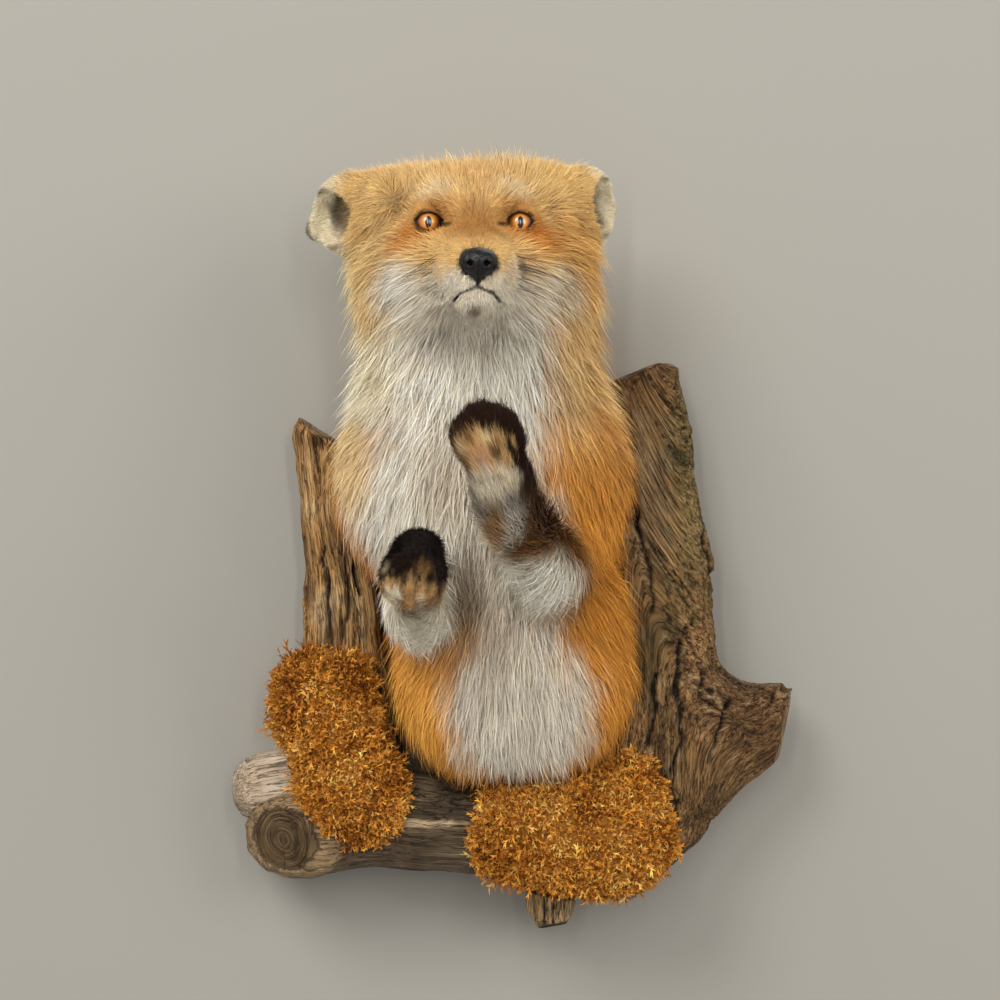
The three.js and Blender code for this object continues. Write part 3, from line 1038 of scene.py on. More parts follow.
@dataclass(frozen=True)
class HornFinish:
    """Claws and whiskers: smooth dark horn."""

    name: str
    dark: str
    pale: str

    def material(self) -> bpy.types.Material:
        """Builds the material."""
        shader = Shader(self.name)
        streak = shader.noise(shader.place(), 500.0, 3.0)
        colour = shader.mix(streak.ramp(0.35, 0.7), self.dark, self.pale)
        return shader.surface(Base_Color=colour, Roughness=0.35, Specular_IOR_Level=0.45)


@dataclass(frozen=True)
class WoodFinish:
    """Weathered wood. Tone is painted on; the Grain attribute runs across and, shrunk, along the grain.

    Attributes:
        name: The material's name.
        marks: How strongly the streaks and specks are coloured.
    """

    name: str
    marks: float = 1.0

    def material(self) -> bpy.types.Material:
        """Builds the material."""
        shader = Shader(self.name)
        grain = shader.attribute("Grain")
        tone = shader.attribute("Tone", "Color")
        fibres = shader.noise(grain, 1300.0, 4.0, 0.65)
        strands = shader.noise(grain, 420.0, 4.0, 0.6)
        specks = shader.noise(shader.place(), 700.0, 3.0, 0.7)
        splits = shader.noise(shader.scaled(grain, (1.0, 1.0, 0.6)), 330.0, 5.0, 0.62)
        colour = shader.mix(fibres.ramp(0.56, 0.36) * (0.75 * self.marks), tone, "6a5a48", "MULTIPLY")
        colour = shader.mix(strands.ramp(0.52, 0.36) * (0.6 * self.marks), colour, "5a4836", "MULTIPLY")
        colour = shader.mix(strands.ramp(0.55, 0.70) * (0.28 * self.marks), colour, "cdb48c")
        colour = shader.mix(fibres.ramp(0.62, 0.74) * (0.3 * self.marks), colour, "d9c39c")
        colour = shader.mix(specks.ramp(0.60, 0.70) * (0.35 * self.marks), colour, "2b1f14")
        # thin dark seams where the bump sinks a groove: painted shade in the split over the wood's own dark
        seam = splits.ramp(0.475, 0.497) * splits.ramp(0.525, 0.503)
        colour = shader.mix(seam * strands.ramp(0.58, 0.44) * (0.85 * self.marks), colour, "1a1209")
        height = fibres * 0.6 + strands - seam * 0.8
        bump = shader.bump(height, 0.0013)
        return shader.surface(Base_Color=colour, Roughness=0.78, Specular_IOR_Level=0.22, Normal=bump)


@dataclass(frozen=True)
class MossFinish:
    """Dried and dyed moss, its colour painted on every sprig."""

    name: str

    def material(self) -> bpy.types.Material:
        """Builds the material."""
        shader = Shader(self.name)
        crumb = shader.noise(shader.place(), 800.0, 3.0)
        colour = shader.mix(crumb.ramp(0.35, 0.7) * 0.5, shader.painted(), "c8a070", "MULTIPLY")
        return shader.surface(Base_Color=colour, Roughness=0.85, Specular_IOR_Level=0.15)


@dataclass(frozen=True)
class PlywoodFinish:
    """The board behind: birch plywood with its plies on the edge."""

    name: str = "Plywood"

    def material(self) -> bpy.types.Material:
        """Builds the material."""
        shader = Shader(self.name)
        place = shader.place()
        figure = shader.noise(shader.scaled(place, (1.0, 1.0, 0.09)), 160.0, 5.0)
        waves = {"Vector": place, "Scale": 130.0}
        plies = shader.node("ShaderNodeTexWave", {"bands_direction": "Y"}, waves, "Fac")
        face = shader.colours(figure, [(0.3, "3f2d1c"), (0.5, "553e28"), (0.7, "6b5036")])
        edge = shader.colours(plies, [(0.3, "3a2716"), (0.7, "6e5236")])
        facing = shader.node("ShaderNodeNewGeometry", {}, {}, "Normal").along(1)
        colour = shader.mix((facing * facing).ramp(0.4, 0.6), edge, face)
        return shader.surface(Base_Color=colour, Roughness=0.6, Normal=shader.bump(figure, 0.0003, 0.5))


@dataclass(frozen=True)
class SteelFinish:
    """Zinc-plated steel with a faint brush."""

    name: str = "Plated steel"

    def material(self) -> bpy.types.Material:
        """Builds the material."""
        shader = Shader(self.name)
        brush = shader.noise(shader.scaled(shader.place(), (1.0, 1.0, 0.05)), 1500.0, 3.0)
        colour = shader.colours(brush, [(0.3, "8f9193"), (0.7, "b9bbbc")])
        return shader.surface(Base_Color=colour, Metallic=1.0, Roughness=0.32 + brush * 0.15)


# ---- Markings -------------------------------------------------------------------------------------------


@dataclass(frozen=True)
class Marking:
    """A soft-edged patch of one colour.

    Attributes:
        colour: Six hex digits.
        centre: Its middle, in the frame of the body part that wears it.
        radii: Its three half-sizes.
        strength: How fully it covers.
        edge: How soft its edge is, as a share of its size.
    """

    colour: str
    centre: Triple
    radii: Triple
    strength: float = 1.0
    edge: float = 0.35

    def share(self, points: Array, ragged: Array) -> Array:
        """How much of the marking lies on each point."""
        reach = reach_from(points, self.centre, self.radii) + ragged
        return self.strength * smoothstep(1.0 + self.edge, 1.0 - self.edge, reach)


@dataclass(frozen=True)
class Pelt:
    """The markings of one part of the body, painted one over another on a base colour."""

    base: str
    markings: tuple[Marking, ...] = ()

    def colours(self, points: Array, ragged: Array) -> Array:
        """The linear colour of each point."""
        painted = plain(self.base, len(points))
        for marking in self.markings:
            painted = blended(painted, linear(marking.colour), marking.share(points, ragged))
        return painted


HEAD_PELT = Pelt(
    "dfb877",
    (
        Marking("e0bc80", (0, 30, 34), (44, 60, 26)),  # crown
        Marking("d9ae70", (2, -4, 30), (26, 30, 14), 0.8),  # forehead
        # sides and white cheeks: the second of each pair, on the viewer's right, is darker, being the fur's colour
        # with painted shade on the side away from the main light
        Marking("eac98f", (-62, 40, -10), (26, 50, 40), 0.8),  # sides
        Marking("d6a358", (62, 40, -20), (26, 50, 40), 0.85),
        Marking("ece3d2", (-38, 4, -38), (27, 34, 18), 0.97),  # white cheeks
        Marking("e2d3b8", (42, 8, -42), (27, 34, 20), 0.97),
        Marking("e6dcca", (0, -20, -46), (42, 30, 19), 1.0, 0.4),  # between the muzzle and the cheeks
        Marking("e4dac8", (0, 20, -72), (62, 62, 28), 1.0),  # throat
        Marking("e0d5c0", (0, -46, -42), (30, 32, 17), 1.0, 0.3),  # sides of the muzzle
        Marking("e0d5c0", (0, -50, -60), (16, 20, 9), 1.0, 0.3),  # chin
        Marking("a67030", (0, -36, -9), (17, 44, 15), 0.88, 0.6),  # bridge of the muzzle
        Marking("c88c42", (-26, -6, 1), (20, 24, 15), 0.75, 0.6),  # golden brown round the eyes
        Marking("c88c42", (28, -6, -1), (20, 24, 15), 0.75, 0.6),
        Marking("c47c2c", (-36, -4, -11), (19, 20, 10), 0.72, 0.6),  # rust under the eyes
        Marking("c27628", (35, -6, -10), (19, 20, 12), 0.88, 0.6),
        Marking("ecd8b0", (-25, -8, 19), (15, 16, 5.5), 0.62, 0.8),  # pale brows
        Marking("ecd8b0", (26, -8, 20), (15, 16, 5.5), 0.62, 0.8),
        Marking("2c1a0e", (-15.5, -10, -2.4), (5.5, 10, 1.5), 0.85, 0.5),  # tear lines
        Marking("2c1a0e", (15.5, -10, -2.4), (5.5, 10, 1.5), 0.85, 0.5),
        Marking("8f6a3c", (-20, -42, -29), (4, 12, 4.5), 0.6),  # whisker smudges
        Marking("8f6a3c", (23, -42, -31), (5, 12, 5.5), 0.75),
        Marking("6a4a2c", (-1, -58, -59), (4.5, 8, 4), 0.75, 0.6),  # smudge on the chin
        # painted shade in the creases at the corners of the mouth
        Marking("a08a68", (-25, -30, -53), (6, 10, 3), 0.6),  # corners of the mouth
        Marking("a08a68", (26, -30, -54), (6, 10, 3), 0.6),
    ),
)
TRUNK_PELT = Pelt(
    "d3933f",
    (
        Marking("deb26a", (-6, -50, 190), (120, 90, 88), 0.95, 0.5),  # nape
        # neck sides and flanks: the marks on the viewer's right are darker, being the fur's colour with painted
        # shade on the side away from the main light
        Marking("f6e8cb", (-70, -95, 160), (44, 72, 72), 0.95),  # golden sides of the neck
        Marking("e6c185", (62, -100, 142), (52, 80, 72), 0.95),
        Marking("e9aa4c", (-62, -120, -70), (38, 60, 50), 0.95),  # flanks
        Marking("d6943a", (62, -120, -6), (40, 70, 104), 0.95),
        Marking("c88a3a", (66, -110, 84), (24, 60, 28), 0.6, 0.5),
        Marking("f0e8d8", (-14, -160, 128), (50, 54, 58)),  # bib
        Marking("ece2d0", (-36, -140, 62), (60, 66, 64)),
        Marking("e2d7c5", (10, -160, 10), (34, 50, 60)),
        Marking("e0d5c3", (12, -140, -76), (46, 60, 68), 1.0, 0.25),  # belly
        Marking("e4c48e", (-86, -110, 84), (16, 40, 28), 0.85),  # streak on the shoulder
        # painted shade under, between and behind the paws, in the next four marks
        Marking("987850", (-8, -165, -6), (28, 30, 36), 0.65, 0.6),  # grey under the paws
        Marking("6e5636", (-22, -140, 8), (13, 50, 22), 0.85, 0.7),
        Marking("b39a78", (2, -160, 70), (24, 20, 30), 0.35, 0.6),
        Marking("b9a284", (-34, -160, 76), (12, 30, 26), 0.4, 0.7),
    ),
)
WHITE_LOCK = "fdf3df"
LEFT_ARM_PELT = Pelt("d09440", (Marking(WHITE_LOCK, (16, -160, 16), (30, 50, 26), 1.0, 0.3),))
LEFT_FOREARM_PELT = Pelt(
    "8a5c24",
    (
        Marking("2c1507", (23, -200, 82), (13, 34, 17), 0.97, 0.25),  # dark outer stripe
        Marking("5a3212", (27, -195, 50), (8, 30, 12), 0.7),
        Marking(WHITE_LOCK, (-3, -200, 52), (21, 44, 26), 1.0, 0.2),  # white inner side
        Marking("cf9a4c", (-2.5, -208, 45), (6.5, 30, 13), 0.85, 0.5),
        Marking(WHITE_LOCK, (18, -165, 13), (30, 40, 20), 1.0, 0.3),  # tuft at the elbow
    ),
)
RIGHT_ARM_PELT = Pelt("f2e9da")
RIGHT_FOREARM_PELT = Pelt(
    "f4e8d2",
    (
        Marking("2c1608", (-46, -200, 38), (24, 40, 17), 0.95, 0.25),
        Marking("c49c66", (-36, -200, 4), (9, 30, 7), 0.7, 0.6),
        Marking("8c7050", (-56, -190, -2), (6, 30, 9), 0.5, 0.7),
    ),
)
LEFT_PAW_PELT = Pelt(
    "2b1508",
    (
        Marking("cfa871", (4, -12, -17), (17.5, 14, 16.5), 1.0, 0.16),  # palm
        Marking("e6d8bd", (5, -12, -1), (18, 16, 11), 0.95, 0.3),
        Marking("c79478", (2, -14, -18), (6, 6, 6), 0.5, 0.6),
        Marking("5a3819", (-5, -12, -19), (3, 6, 6), 0.8, 0.5),
        Marking("6b4522", (14, -12, -14), (2.2, 8, 8), 0.8, 0.5),
        Marking("5a3819", (9, -12, -2), (6, 6, 2), 0.7, 0.5),
        Marking("5a3819", (-2, -12, -3), (4, 6, 2), 0.6, 0.5),
        Marking("8c6236", (7, -12, -30), (2.0, 8, 5), 0.8, 0.5),
        Marking("e8d2a4", (-3, -14, -28), (3, 8, 3), 0.8, 0.5),
        Marking("e8d2a4", (13, -14, -24), (3, 8, 3), 0.8, 0.5),
    ),
)
RIGHT_PAW_PELT = Pelt(
    "2a1508",
    (
        Marking("efe6d6", (0, -15, -8), (24, 11, 34), 1.0, 0.25),  # white underside
        Marking("caa26b", (2, -4, -41), (24, 10, 12.5), 0.95, 0.25),  # tan toes
        Marking("f0e6d0", (8, -5, -44), (3.5, 7, 9), 0.9, 0.4),
        Marking("f0e6d0", (-7, -8, -44), (3, 5, 6), 0.7, 0.4),
        Marking("f0e6d0", (13, -6, -40), (2.5, 6, 8), 0.8, 0.4),
        Marking("241208", (3.6, 0, -37), (2.2, 10, 8), 0.85, 0.6),
        Marking("38200f", (-3.8, -3, -38), (1.4, 10, 9), 0.7, 0.7),
        Marking("241208", (-10.5, 3, -34), (2.6, 9, 7), 0.75, 0.6),
        Marking("a47a48", (-6, 6, -30), (5, 5, 6), 0.75, 0.6),
        Marking("d8c49c", (15, 4, -28), (3, 5, 4), 0.8, 0.5),
    ),
)
EAR_PELT = Pelt(
    "ecdcba",
    (
        Marking("dfb877", (0, 2, -4), (60, 60, 26), 1.0, 0.35),  # golden root
        Marking("2a1d14", (0, 6, 72), (17, 14, 8), 0.7, 0.5),  # dark tip
        Marking("2a1d14", (17, -9.5, 41), (2.4, 3.4, 15), 0.75, 0.5),  # dark rims
        Marking("2a1d14", (-17, -9.5, 41), (2.4, 3.4, 15), 0.75, 0.5),
        # painted shade inside the ear's cup
        Marking("3a3028", (1, -4, 26), (12, 11, 14), 0.97, 0.25),  # hollow
    ),
)


@dataclass
class Pelage:
    """How the coat lies and what it is coloured, anywhere on the animal.

    Attributes:
        fox: The animal's form.
        ragged: Noise that makes the edges of the markings uneven.
        mottle: Noise that lightens and darkens the coat.
        streaks: The finer edges of the markings on the paws.
        nose: Where the hair of the head starts from, in the head's frame.
    """

    fox: Fox
    ragged: Noise = Noise(5, (9.0, 9.0, 16.0))
    mottle: Noise = Noise(8, (5.0, 5.0, 11.0))
    streaks: Noise = Noise(6, (2.6, 4.0, 9.0))
    nose: Triple = (1.0, -84.0, -24.0)

    def colours(self, points: Array, shares: dict[str, Array] | None = None) -> Array:
        """The linear colour of each point."""
        shares = shares or self.fox.shares(points)
        ragged = self.ragged.layered(points, 2) * 0.16
        local = HEAD.inside(points)
        layers = {
            "head": (HEAD_PELT, local),
            "trunk": (TRUNK_PELT, points),
            "ear_left": (EAR_PELT, LEFT_EAR.place.inside(points)),
            "ear_right": (EAR_PELT, RIGHT_EAR.place.inside(points)),
            "upper_left": (LEFT_ARM_PELT, points),
            "upper_right": (RIGHT_ARM_PELT, points),
            "lower_left": (LEFT_FOREARM_PELT, points),
            "lower_right": (RIGHT_FOREARM_PELT, points),
            "paw_left": (LEFT_PAW_PELT, LEFT_LEG.paw.inside(points)),
            "paw_right": (RIGHT_PAW_PELT, RIGHT_LEG.paw.inside(points)),
        }
        total = np.zeros((len(points), 3))
        for name, (pelt, own) in layers.items():
            worn = shares[name] > 0.01
            edge = self.streaks.layered(own[worn], 2) * 0.3 if name.startswith("paw") else ragged[worn]
            total[worn] += pelt.colours(own[worn], edge) * shares[name][worn][:, None]
        shade = 1.0 + 0.12 * self.mottle.layered(points, 2)
        total = total * shade[:, None]
        near = (np.abs(local[:, 0]) < 32) & (local[:, 1] < -24) & (local[:, 2] < -20)
        lip = np.zeros(len(points))
        lip[near] = smoothstep(2.1, 0.8, self.fox.mouth_gap(local[near])) * 0.92
        pad = reach_from(local, (0.5, -66.0, -32.0), (11.5, 12.0, 9.5))
        lid = smoothstep(10.4, 9.2, self.fox.eye_gap(local)[0]) * 0.8
        bare = np.maximum(np.maximum(lip, lid), smoothstep(1.12, 0.95, pad))
        return blended(total, linear("1a100b"), bare)

    def lie(self, points: Array, normals: Array, shares: dict[str, Array]) -> Array:
        """The direction in which the coat lies, along the skin, at each point."""
        local = HEAD.inside(points)
        away = unit(local - np.array(self.nose))
        droop = smoothstep(-20.0, 40.0, local[:, 1]) * smoothstep(22.0, -22.0, local[:, 2])
        under = smoothstep(-44.0, -64.0, local[:, 2])
        head = away + (droop * 1.1 + under * 0.5)[:, None] * np.array([0.0, 0.0, -1.0])
        gap, outward = self.fox.eye_gap(local)
        head = unit(head) + outward * (smoothstep(17.0, 9.0, gap) * 2.5)[:, None]
        head = HEAD.turned(unit(head))
        side = (points[:, 0] + 2.0) / 70.0
        spread = side * (0.3 + 0.3 * smoothstep(60.0, -60.0, points[:, 2]))
        trunk = np.outer(spread, [1.0, 0.0, 0.0]) + np.array([0.0, 0.1, -1.0])
        total = shares["head"][:, None] * head + shares["trunk"][:, None] * trunk
        for name, leg in zip(("left", "right"), LEGS):
            upper = unit(np.array(leg.elbow) - np.array(leg.shoulder)) + np.array([0.0, 0.0, -1.2])
            forearm = np.array(leg.wrist) - np.array(leg.elbow)
            reach = (points - np.array(leg.elbow)) @ forearm / (forearm @ forearm)
            ahead = smoothstep(0.2, 0.8, reach)[:, None]
            lower = unit(forearm) * (0.5 + 0.5 * ahead) + np.array([0.0, -0.1, -1.0]) * (1.0 - ahead)
            total = total + shares["upper_" + name][:, None] * upper
            total = total + shares["lower_" + name][:, None] * lower
            total = total - shares["paw_" + name][:, None] * leg.paw.axes[:, 2]
        for name, ear in (("ear_left", LEFT_EAR), ("ear_right", RIGHT_EAR)):
            gap = np.linalg.norm(points - ear.place.origin, axis=1)
            near = np.exp(-((gap / 26.0) ** 2)) * shares["head"]
            total = total + (shares[name] + 1.3 * near)[:, None] * ear.place.axes[:, 2]
        total = total - normals * (total * normals).sum(axis=1, keepdims=True)
        return unit(total)


# ---- The skin -------------------------------------------------------------------------------------------


@dataclass
class Skin:
    """One closed skin over the whole animal, fine about the eyes and lips.

    Attributes:
        fox: The animal's form.
        pelage: Its markings.
        cell: The grid on which the skin is found.
        coat_cell: The grid on which the tips of the coat are found.
        low: The lowest corner of both grids.
        high: Their highest corner.
        flesh: Distances to the skin.
        coat: Distances to the tips of the coat.
        nodes: The solids that the skin stands for.
    """

    fox: Fox
    pelage: Pelage
    cell: float = 2.5
    coat_cell: float = 4.0
    low: Triple = (-128.0, -254.0, -128.0)
    high: Triple = (100.0, 6.0, 276.0)
    flesh: VoxelField = field(init=False, repr=False)
    coat: VoxelField = field(init=False, repr=False)
    nodes: tuple[str, ...] = (
        "head",
        "neck",
        "chest",
        "belly",
        *(part + side for part in ("ear_", "foreleg_", "forepaw_") for side in ("left", "right")),
    )

    def build(self) -> None:
        """Builds, refines, paints and dresses the skin."""
        self.flesh = VoxelField(self.low, self.high, self.cell)
        self.flesh.fill(self._cut_flesh, 6.0)
        self.coat = VoxelField(self.low, self.high, self.coat_cell)
        self.coat.fill(self.fox.furred, 40.0)
        points, quads = self.flesh.surface()
        piece = new_object("skin", points, np.full(len(quads), 4), quads.ravel())
        for reach in (17.0, 12.0):
            self._refine(piece, reach)
        points = vertex_points(piece)
        local = HEAD.inside(points)
        front = np.abs(local).max(axis=1) < 75.0
        points[front] = settled(self._cut_flesh, points[front], 3)
        move_vertices(piece, points)
        self._press_lips(piece)
        smooth(piece)
        self._paint(piece)
        self._unwrap(piece)
        finish_piece(piece, SkinFinish().material(), "pale_fur", self.nodes)

    def _cut_flesh(self, points: Array) -> Array:
        """The flesh, ended flat just clear of the wall."""
        return np.maximum(self.fox.flesh(points), points[:, 1] - WALL)

    def _refine(self, piece: bpy.types.Object, reach: float) -> None:
        """Divides the faces within a distance of the eyes and the lips."""
        local = HEAD.inside(vertex_points(piece))
        eyes = self.fox.eye_gap(local)[0] < reach
        lips = self.fox.mouth_gap(local) < reach * 0.45
        near = (eyes & (local[:, 1] < 4.0)) | lips
        mesh = bmesh.new()
        mesh.from_mesh(piece.data)
        edges = [edge for edge in mesh.edges if near[edge.verts[0].index] and near[edge.verts[1].index]]
        bmesh.ops.subdivide_edges(mesh, edges=edges, cuts=1, use_grid_fill=True)
        mesh.to_mesh(piece.data)
        mesh.free()

    def _press_lips(self, piece: bpy.types.Object) -> None:
        """Presses the closed mouth and the groove under the nose into the muzzle."""
        points = vertex_points(piece)
        gap = self.fox.mouth_gap(HEAD.inside(points))
        depth = 1.9 * np.exp(-((gap / 1.1) ** 2)) - 0.5 * np.exp(-(((gap - 2.6) / 1.2) ** 2))
        move_vertices(piece, points - vertex_normals(piece) * depth[:, None])

    def _paint(self, piece: bpy.types.Object) -> None:
        """Paints the skin's colours: the coat's markings, darkened as painted shade under the coat, and dark at the
        lids and lips.
        """
        points = vertex_points(piece)
        # the markings at 0.62 of their brightness: painted shade on the skin under the tufts
        colours = self.pelage.colours(points) * 0.62
        local = HEAD.inside(points)
        rim = smoothstep(2.2, 0.5, np.abs(self.fox.lids(local)[1]))
        rim = rim * (self.fox.eye_gap(local)[0] < EYE_RADIUS + 4.5)
        lip = smoothstep(2.4, 0.9, self.fox.mouth_gap(local))
        colours = blended(colours, linear("150d09"), np.maximum(rim, lip * 0.9))
        paint(piece, "Coat", colours)

    def _unwrap(self, piece: bpy.types.Object) -> None:
        """Unwraps each patch of the coat on the skin's own shape, over a map of its own."""
        piece.data.uv_layers.new(name="OFBake")
        regions = coat_regions(self.fox, face_centres(piece))
        select_only(piece)
        for index in range(len(CoatRegion)):
            piece.data.polygons.foreach_set("select", regions == index)
            bpy.ops.object.mode_set(mode="EDIT")
            bpy.ops.uv.smart_project(angle_limit=math.radians(66.0), island_margin=0.002)
            bpy.ops.object.mode_set(mode="OBJECT")


class CoatRegion(Enum):
    """The patches that the coat is made in."""

    FACE = 0
    CROWN = 1
    CHEEKS = 2
    NECK = 3
    CHEST = 4
    BELLY = 5
    SIDE_LEFT = 6
    SIDE_RIGHT = 7
    FORELEG_LEFT = 8
    FORELEG_RIGHT = 9
    EARS = 10
    BROW = 11


def coat_regions(fox: Fox, points: Array) -> Array:
    """Which patch of the coat each point of the skin belongs to.

    Args:
        fox: The animal's form.
        points: Rows of millimetres.

    Returns:
        The value of a CoatRegion for each row.
    """
    shares = fox.shares(points)
    local = HEAD.inside(points)
    legs = [sum(shares[part + name] for part in ("upper_", "lower_", "paw_")) for name in ("left", "right")]
    ears = shares["ear_left"] + shares["ear_right"]
    strongest = np.argmax(np.stack([shares["head"], shares["trunk"], *legs, ears]), axis=0)
    x, y, z = points.T
    lower = np.where(z > 28, CoatRegion.CHEST.value, CoatRegion.BELLY.value)
    trunk = np.where(z > 112, CoatRegion.NECK.value, lower)
    sides = np.where(x > 0, CoatRegion.SIDE_LEFT.value, CoatRegion.SIDE_RIGHT.value)
    trunk = np.where((y > -72) & (z < 150), sides, trunk)
    face = (local[:, 1] < 16) & (local[:, 2] > -66)
    front = np.where(local[:, 2] > -9, CoatRegion.BROW.value, CoatRegion.FACE.value)
    behind = np.where(local[:, 2] > 2, CoatRegion.CROWN.value, CoatRegion.CHEEKS.value)
    limbs = [region.value for region in (CoatRegion.FORELEG_LEFT, CoatRegion.FORELEG_RIGHT, CoatRegion.EARS)]
    return np.choose(strongest, [np.where(face, front, behind), trunk, *limbs])


# ---- The coat -------------------------------------------------------------------------------------------


def strip_faces(rows: int) -> list[int]:
    """The triangles of a strip with two points in each of its rows."""
    return [2 * row + corner for row in range(rows - 1) for corner in (0, 1, 3, 0, 3, 2)]


@dataclass
class Patch:
    """One patch of tufts, rooted on the skin.

    Attributes:
        region: Where it grows.
        slot: The record's slot.
        cover: How many tufts lie over one another.
        clump: The size of a lock of tufts that lean together.
        lift: How far the tufts stand, against the coat's depth.
        free: How freely the tufts hang off the body, from 0 to 1.
    """

    region: CoatRegion
    slot: str
    cover: float
    clump: float = 5.0
    lift: float = 1.0
    free: float = 0.3


@dataclass
class Coat:
    """The whole coat, patch by patch.

    Attributes:
        fox: The animal's form.
        pelage: How the coat lies and what it is coloured.
        skin: The skin, with its distances.
        seed: The first of the patches' seeds.
        bends: How many straight lengths a tuft has.
        finest: The width of the shortest tufts.
        slender: How much wider a tuft is for each millimetre of its length.
        guard_share: The share of longer guard hairs, which stand freer.
        clear_of_wall: Tufts grow only this far in front of the wall.
        patches: The patches that the coat is grown in.
    """

    fox: Fox
    pelage: Pelage
    skin: Skin
    seed: int = 20
    bends: int = 2
    finest: float = 0.17
    slender: float = 0.0085
    guard_share: float = 0.09
    clear_of_wall: float = 1.5
    patches: tuple[Patch, ...] = (
        Patch(CoatRegion.FACE, "face_fur", 3.8, clump=1.6, free=0.1),
        Patch(CoatRegion.BROW, "face_fur", 4.2, clump=1.8, free=0.1),
        Patch(CoatRegion.CROWN, "orange_fur", 9.5, clump=2.5, free=0.15),
        Patch(CoatRegion.CHEEKS, "pale_fur", 10.0, clump=4.0),
        Patch(CoatRegion.NECK, "pale_fur", 12.5, clump=5.0),
        Patch(CoatRegion.CHEST, "pale_fur", 12.5, clump=5.0),
        Patch(CoatRegion.BELLY, "pale_fur", 11.5, clump=5.0),
        Patch(CoatRegion.SIDE_LEFT, "orange_fur", 7.0, clump=5.0),
        Patch(CoatRegion.SIDE_RIGHT, "orange_fur", 7.0, clump=5.0),
        Patch(CoatRegion.FORELEG_LEFT, "dark_fur", 6.5, clump=2.5, lift=1.25, free=0.75),
        Patch(CoatRegion.FORELEG_RIGHT, "dark_fur", 6.0, clump=2.5, lift=1.25, free=0.75),
        Patch(CoatRegion.EARS, "face_fur", 3.2, clump=2.0),
    )

    def build(self) -> None:
        """Grows every patch."""
        piece = bpy.data.objects["skin"]
        mesh = piece.data
        mesh.calc_loop_triangles()
        count = len(mesh.loop_triangles)
        corners = np.empty(count * 3, dtype=np.int32)
        mesh.loop_triangles.foreach_get("vertices", corners)
        loops = np.empty(count * 3, dtype=np.int32)
        mesh.loop_triangles.foreach_get("loops", loops)
        faces = np.empty(count, dtype=np.int32)
        mesh.loop_triangles.foreach_get("polygon_index", faces)
        map_flat = np.empty(len(mesh.loops) * 2, dtype=np.float32)
        mesh.uv_layers["OFBake"].data.foreach_get("uv", map_flat)
        points = vertex_points(piece)[corners.reshape(-1, 3)]
        spots = map_flat.reshape(-1, 2)[loops.reshape(-1, 3)]
        regions = coat_regions(self.fox, face_centres(piece))[faces]
        material = CoatFinish().material()
        for patch in self.patches:
            rng = np.random.default_rng(self.seed + patch.region.value)
            own = regions == patch.region.value
            finish_piece(self._grow(patch, points[own], spots[own], rng), material, patch.slot)

    def _lengths(self, points: Array, shares: dict[str, Array]) -> tuple[Array, Array]:
        """How long the hair is at each root, and how deep the coat is there."""
        depth = np.clip(-self.skin.coat.look_up(points)[0], 0.6, 30.0)
        length = 2.0 + 1.3 * depth
        local = HEAD.inside(points)
        length *= 0.35 + 0.65 * smoothstep(9.0, 22.0, self.fox.eye_gap(local)[0])
        length *= 0.30 + 0.70 * smoothstep(0.5, 7.0, self.fox.mouth_gap(local))
        arms = (1.3 * shares["upper_" + side] + 0.45 * shares["lower_" + side] for side in ("left", "right"))
        length *= 1.0 + sum(arms)
        for name, ear in (("ear_left", LEFT_EAR), ("ear_right", RIGHT_EAR)):
            length += 4.0 * shares[name] * smoothstep(44.0, 20.0, ear.place.inside(points)[:, 2])
            length *= 1.0 - (0.75 - 0.25 * shares[name]) * ear.mouth_share(points)
        length *= 1.0 + 1.6 * self._beside_muzzle(local) * shares["head"]
        for name, leg in (("paw_left", LEFT_LEG), ("paw_right", RIGHT_LEG)):
            length *= 1.0 + 0.9 * shares[name] * smoothstep(0.0, -8.0, leg.paw.inside(points)[:, 1])
        return np.clip(length, 1.4, 42.0), depth

    def _beside_muzzle(self, local: Array) -> Array:
        """How much each point of the head lies on the sides of the muzzle, from 0 to 1."""
        along = smoothstep(-62.0, -42.0, local[:, 1]) * smoothstep(-8.0, -24.0, local[:, 1])
        return along * smoothstep(10.0, 18.0, np.abs(local[:, 0])) * smoothstep(-62.0, -50.0, local[:, 2])

    def _roots(
        self, patch: Patch, points: Array, spots: Array, rng: np.random.Generator
    ) -> tuple[Array, Array]:
        """Scatters roots over the patch's triangles.

        Args:
            patch: The patch.
            points: The corners of its triangles.
            spots: The same corners on the skin's map.
            rng: The patch's own random numbers.

        Returns:
            The roots, and their places on the map.
        """
        middle = points.mean(axis=1)
        length, _ = self._lengths(middle, self.fox.shares(middle))
        width = self.finest + self.slender * length
        first_side, second_side = points[:, 1] - points[:, 0], points[:, 2] - points[:, 0]
        area = 0.5 * np.linalg.norm(np.cross(first_side, second_side), axis=1)
        wanted = area * patch.cover / (0.5 * width * length)
        count = np.floor(wanted + rng.random(len(wanted))).astype(np.int64)
        chosen = np.repeat(np.arange(len(points)), count)
        first, second = rng.random((2, len(chosen)))
        over = first + second > 1.0
        first[over], second[over] = 1.0 - first[over], 1.0 - second[over]
        weights = np.stack([1.0 - first - second, first, second], axis=1)[:, :, None]
        roots = (points[chosen] * weights).sum(axis=1)
        places = (spots[chosen] * weights).sum(axis=1)
        local = HEAD.inside(roots)
        bare = (self.fox.lids(local)[1] < 0.7) & (self.fox.eye_gap(local)[0] < EYE_RADIUS + 8.0)
        bare |= self.fox.mouth_gap(local) < 0.9
        bare |= self._under_nose(local)
        bare |= roots[:, 1] > -self.clear_of_wall
        return roots[~bare], places[~bare]

    def _under_nose(self, local: Array) -> Array:
        """Which points of the head lie under the nose's pad."""
        across, forwards, height = np.abs(local[:, 0]), local[:, 1], np.abs(local[:, 2] + 31.5)
        return (across < NOSE_WIDTH * 0.4) & (height < 7.0) & (forwards < -63.0)

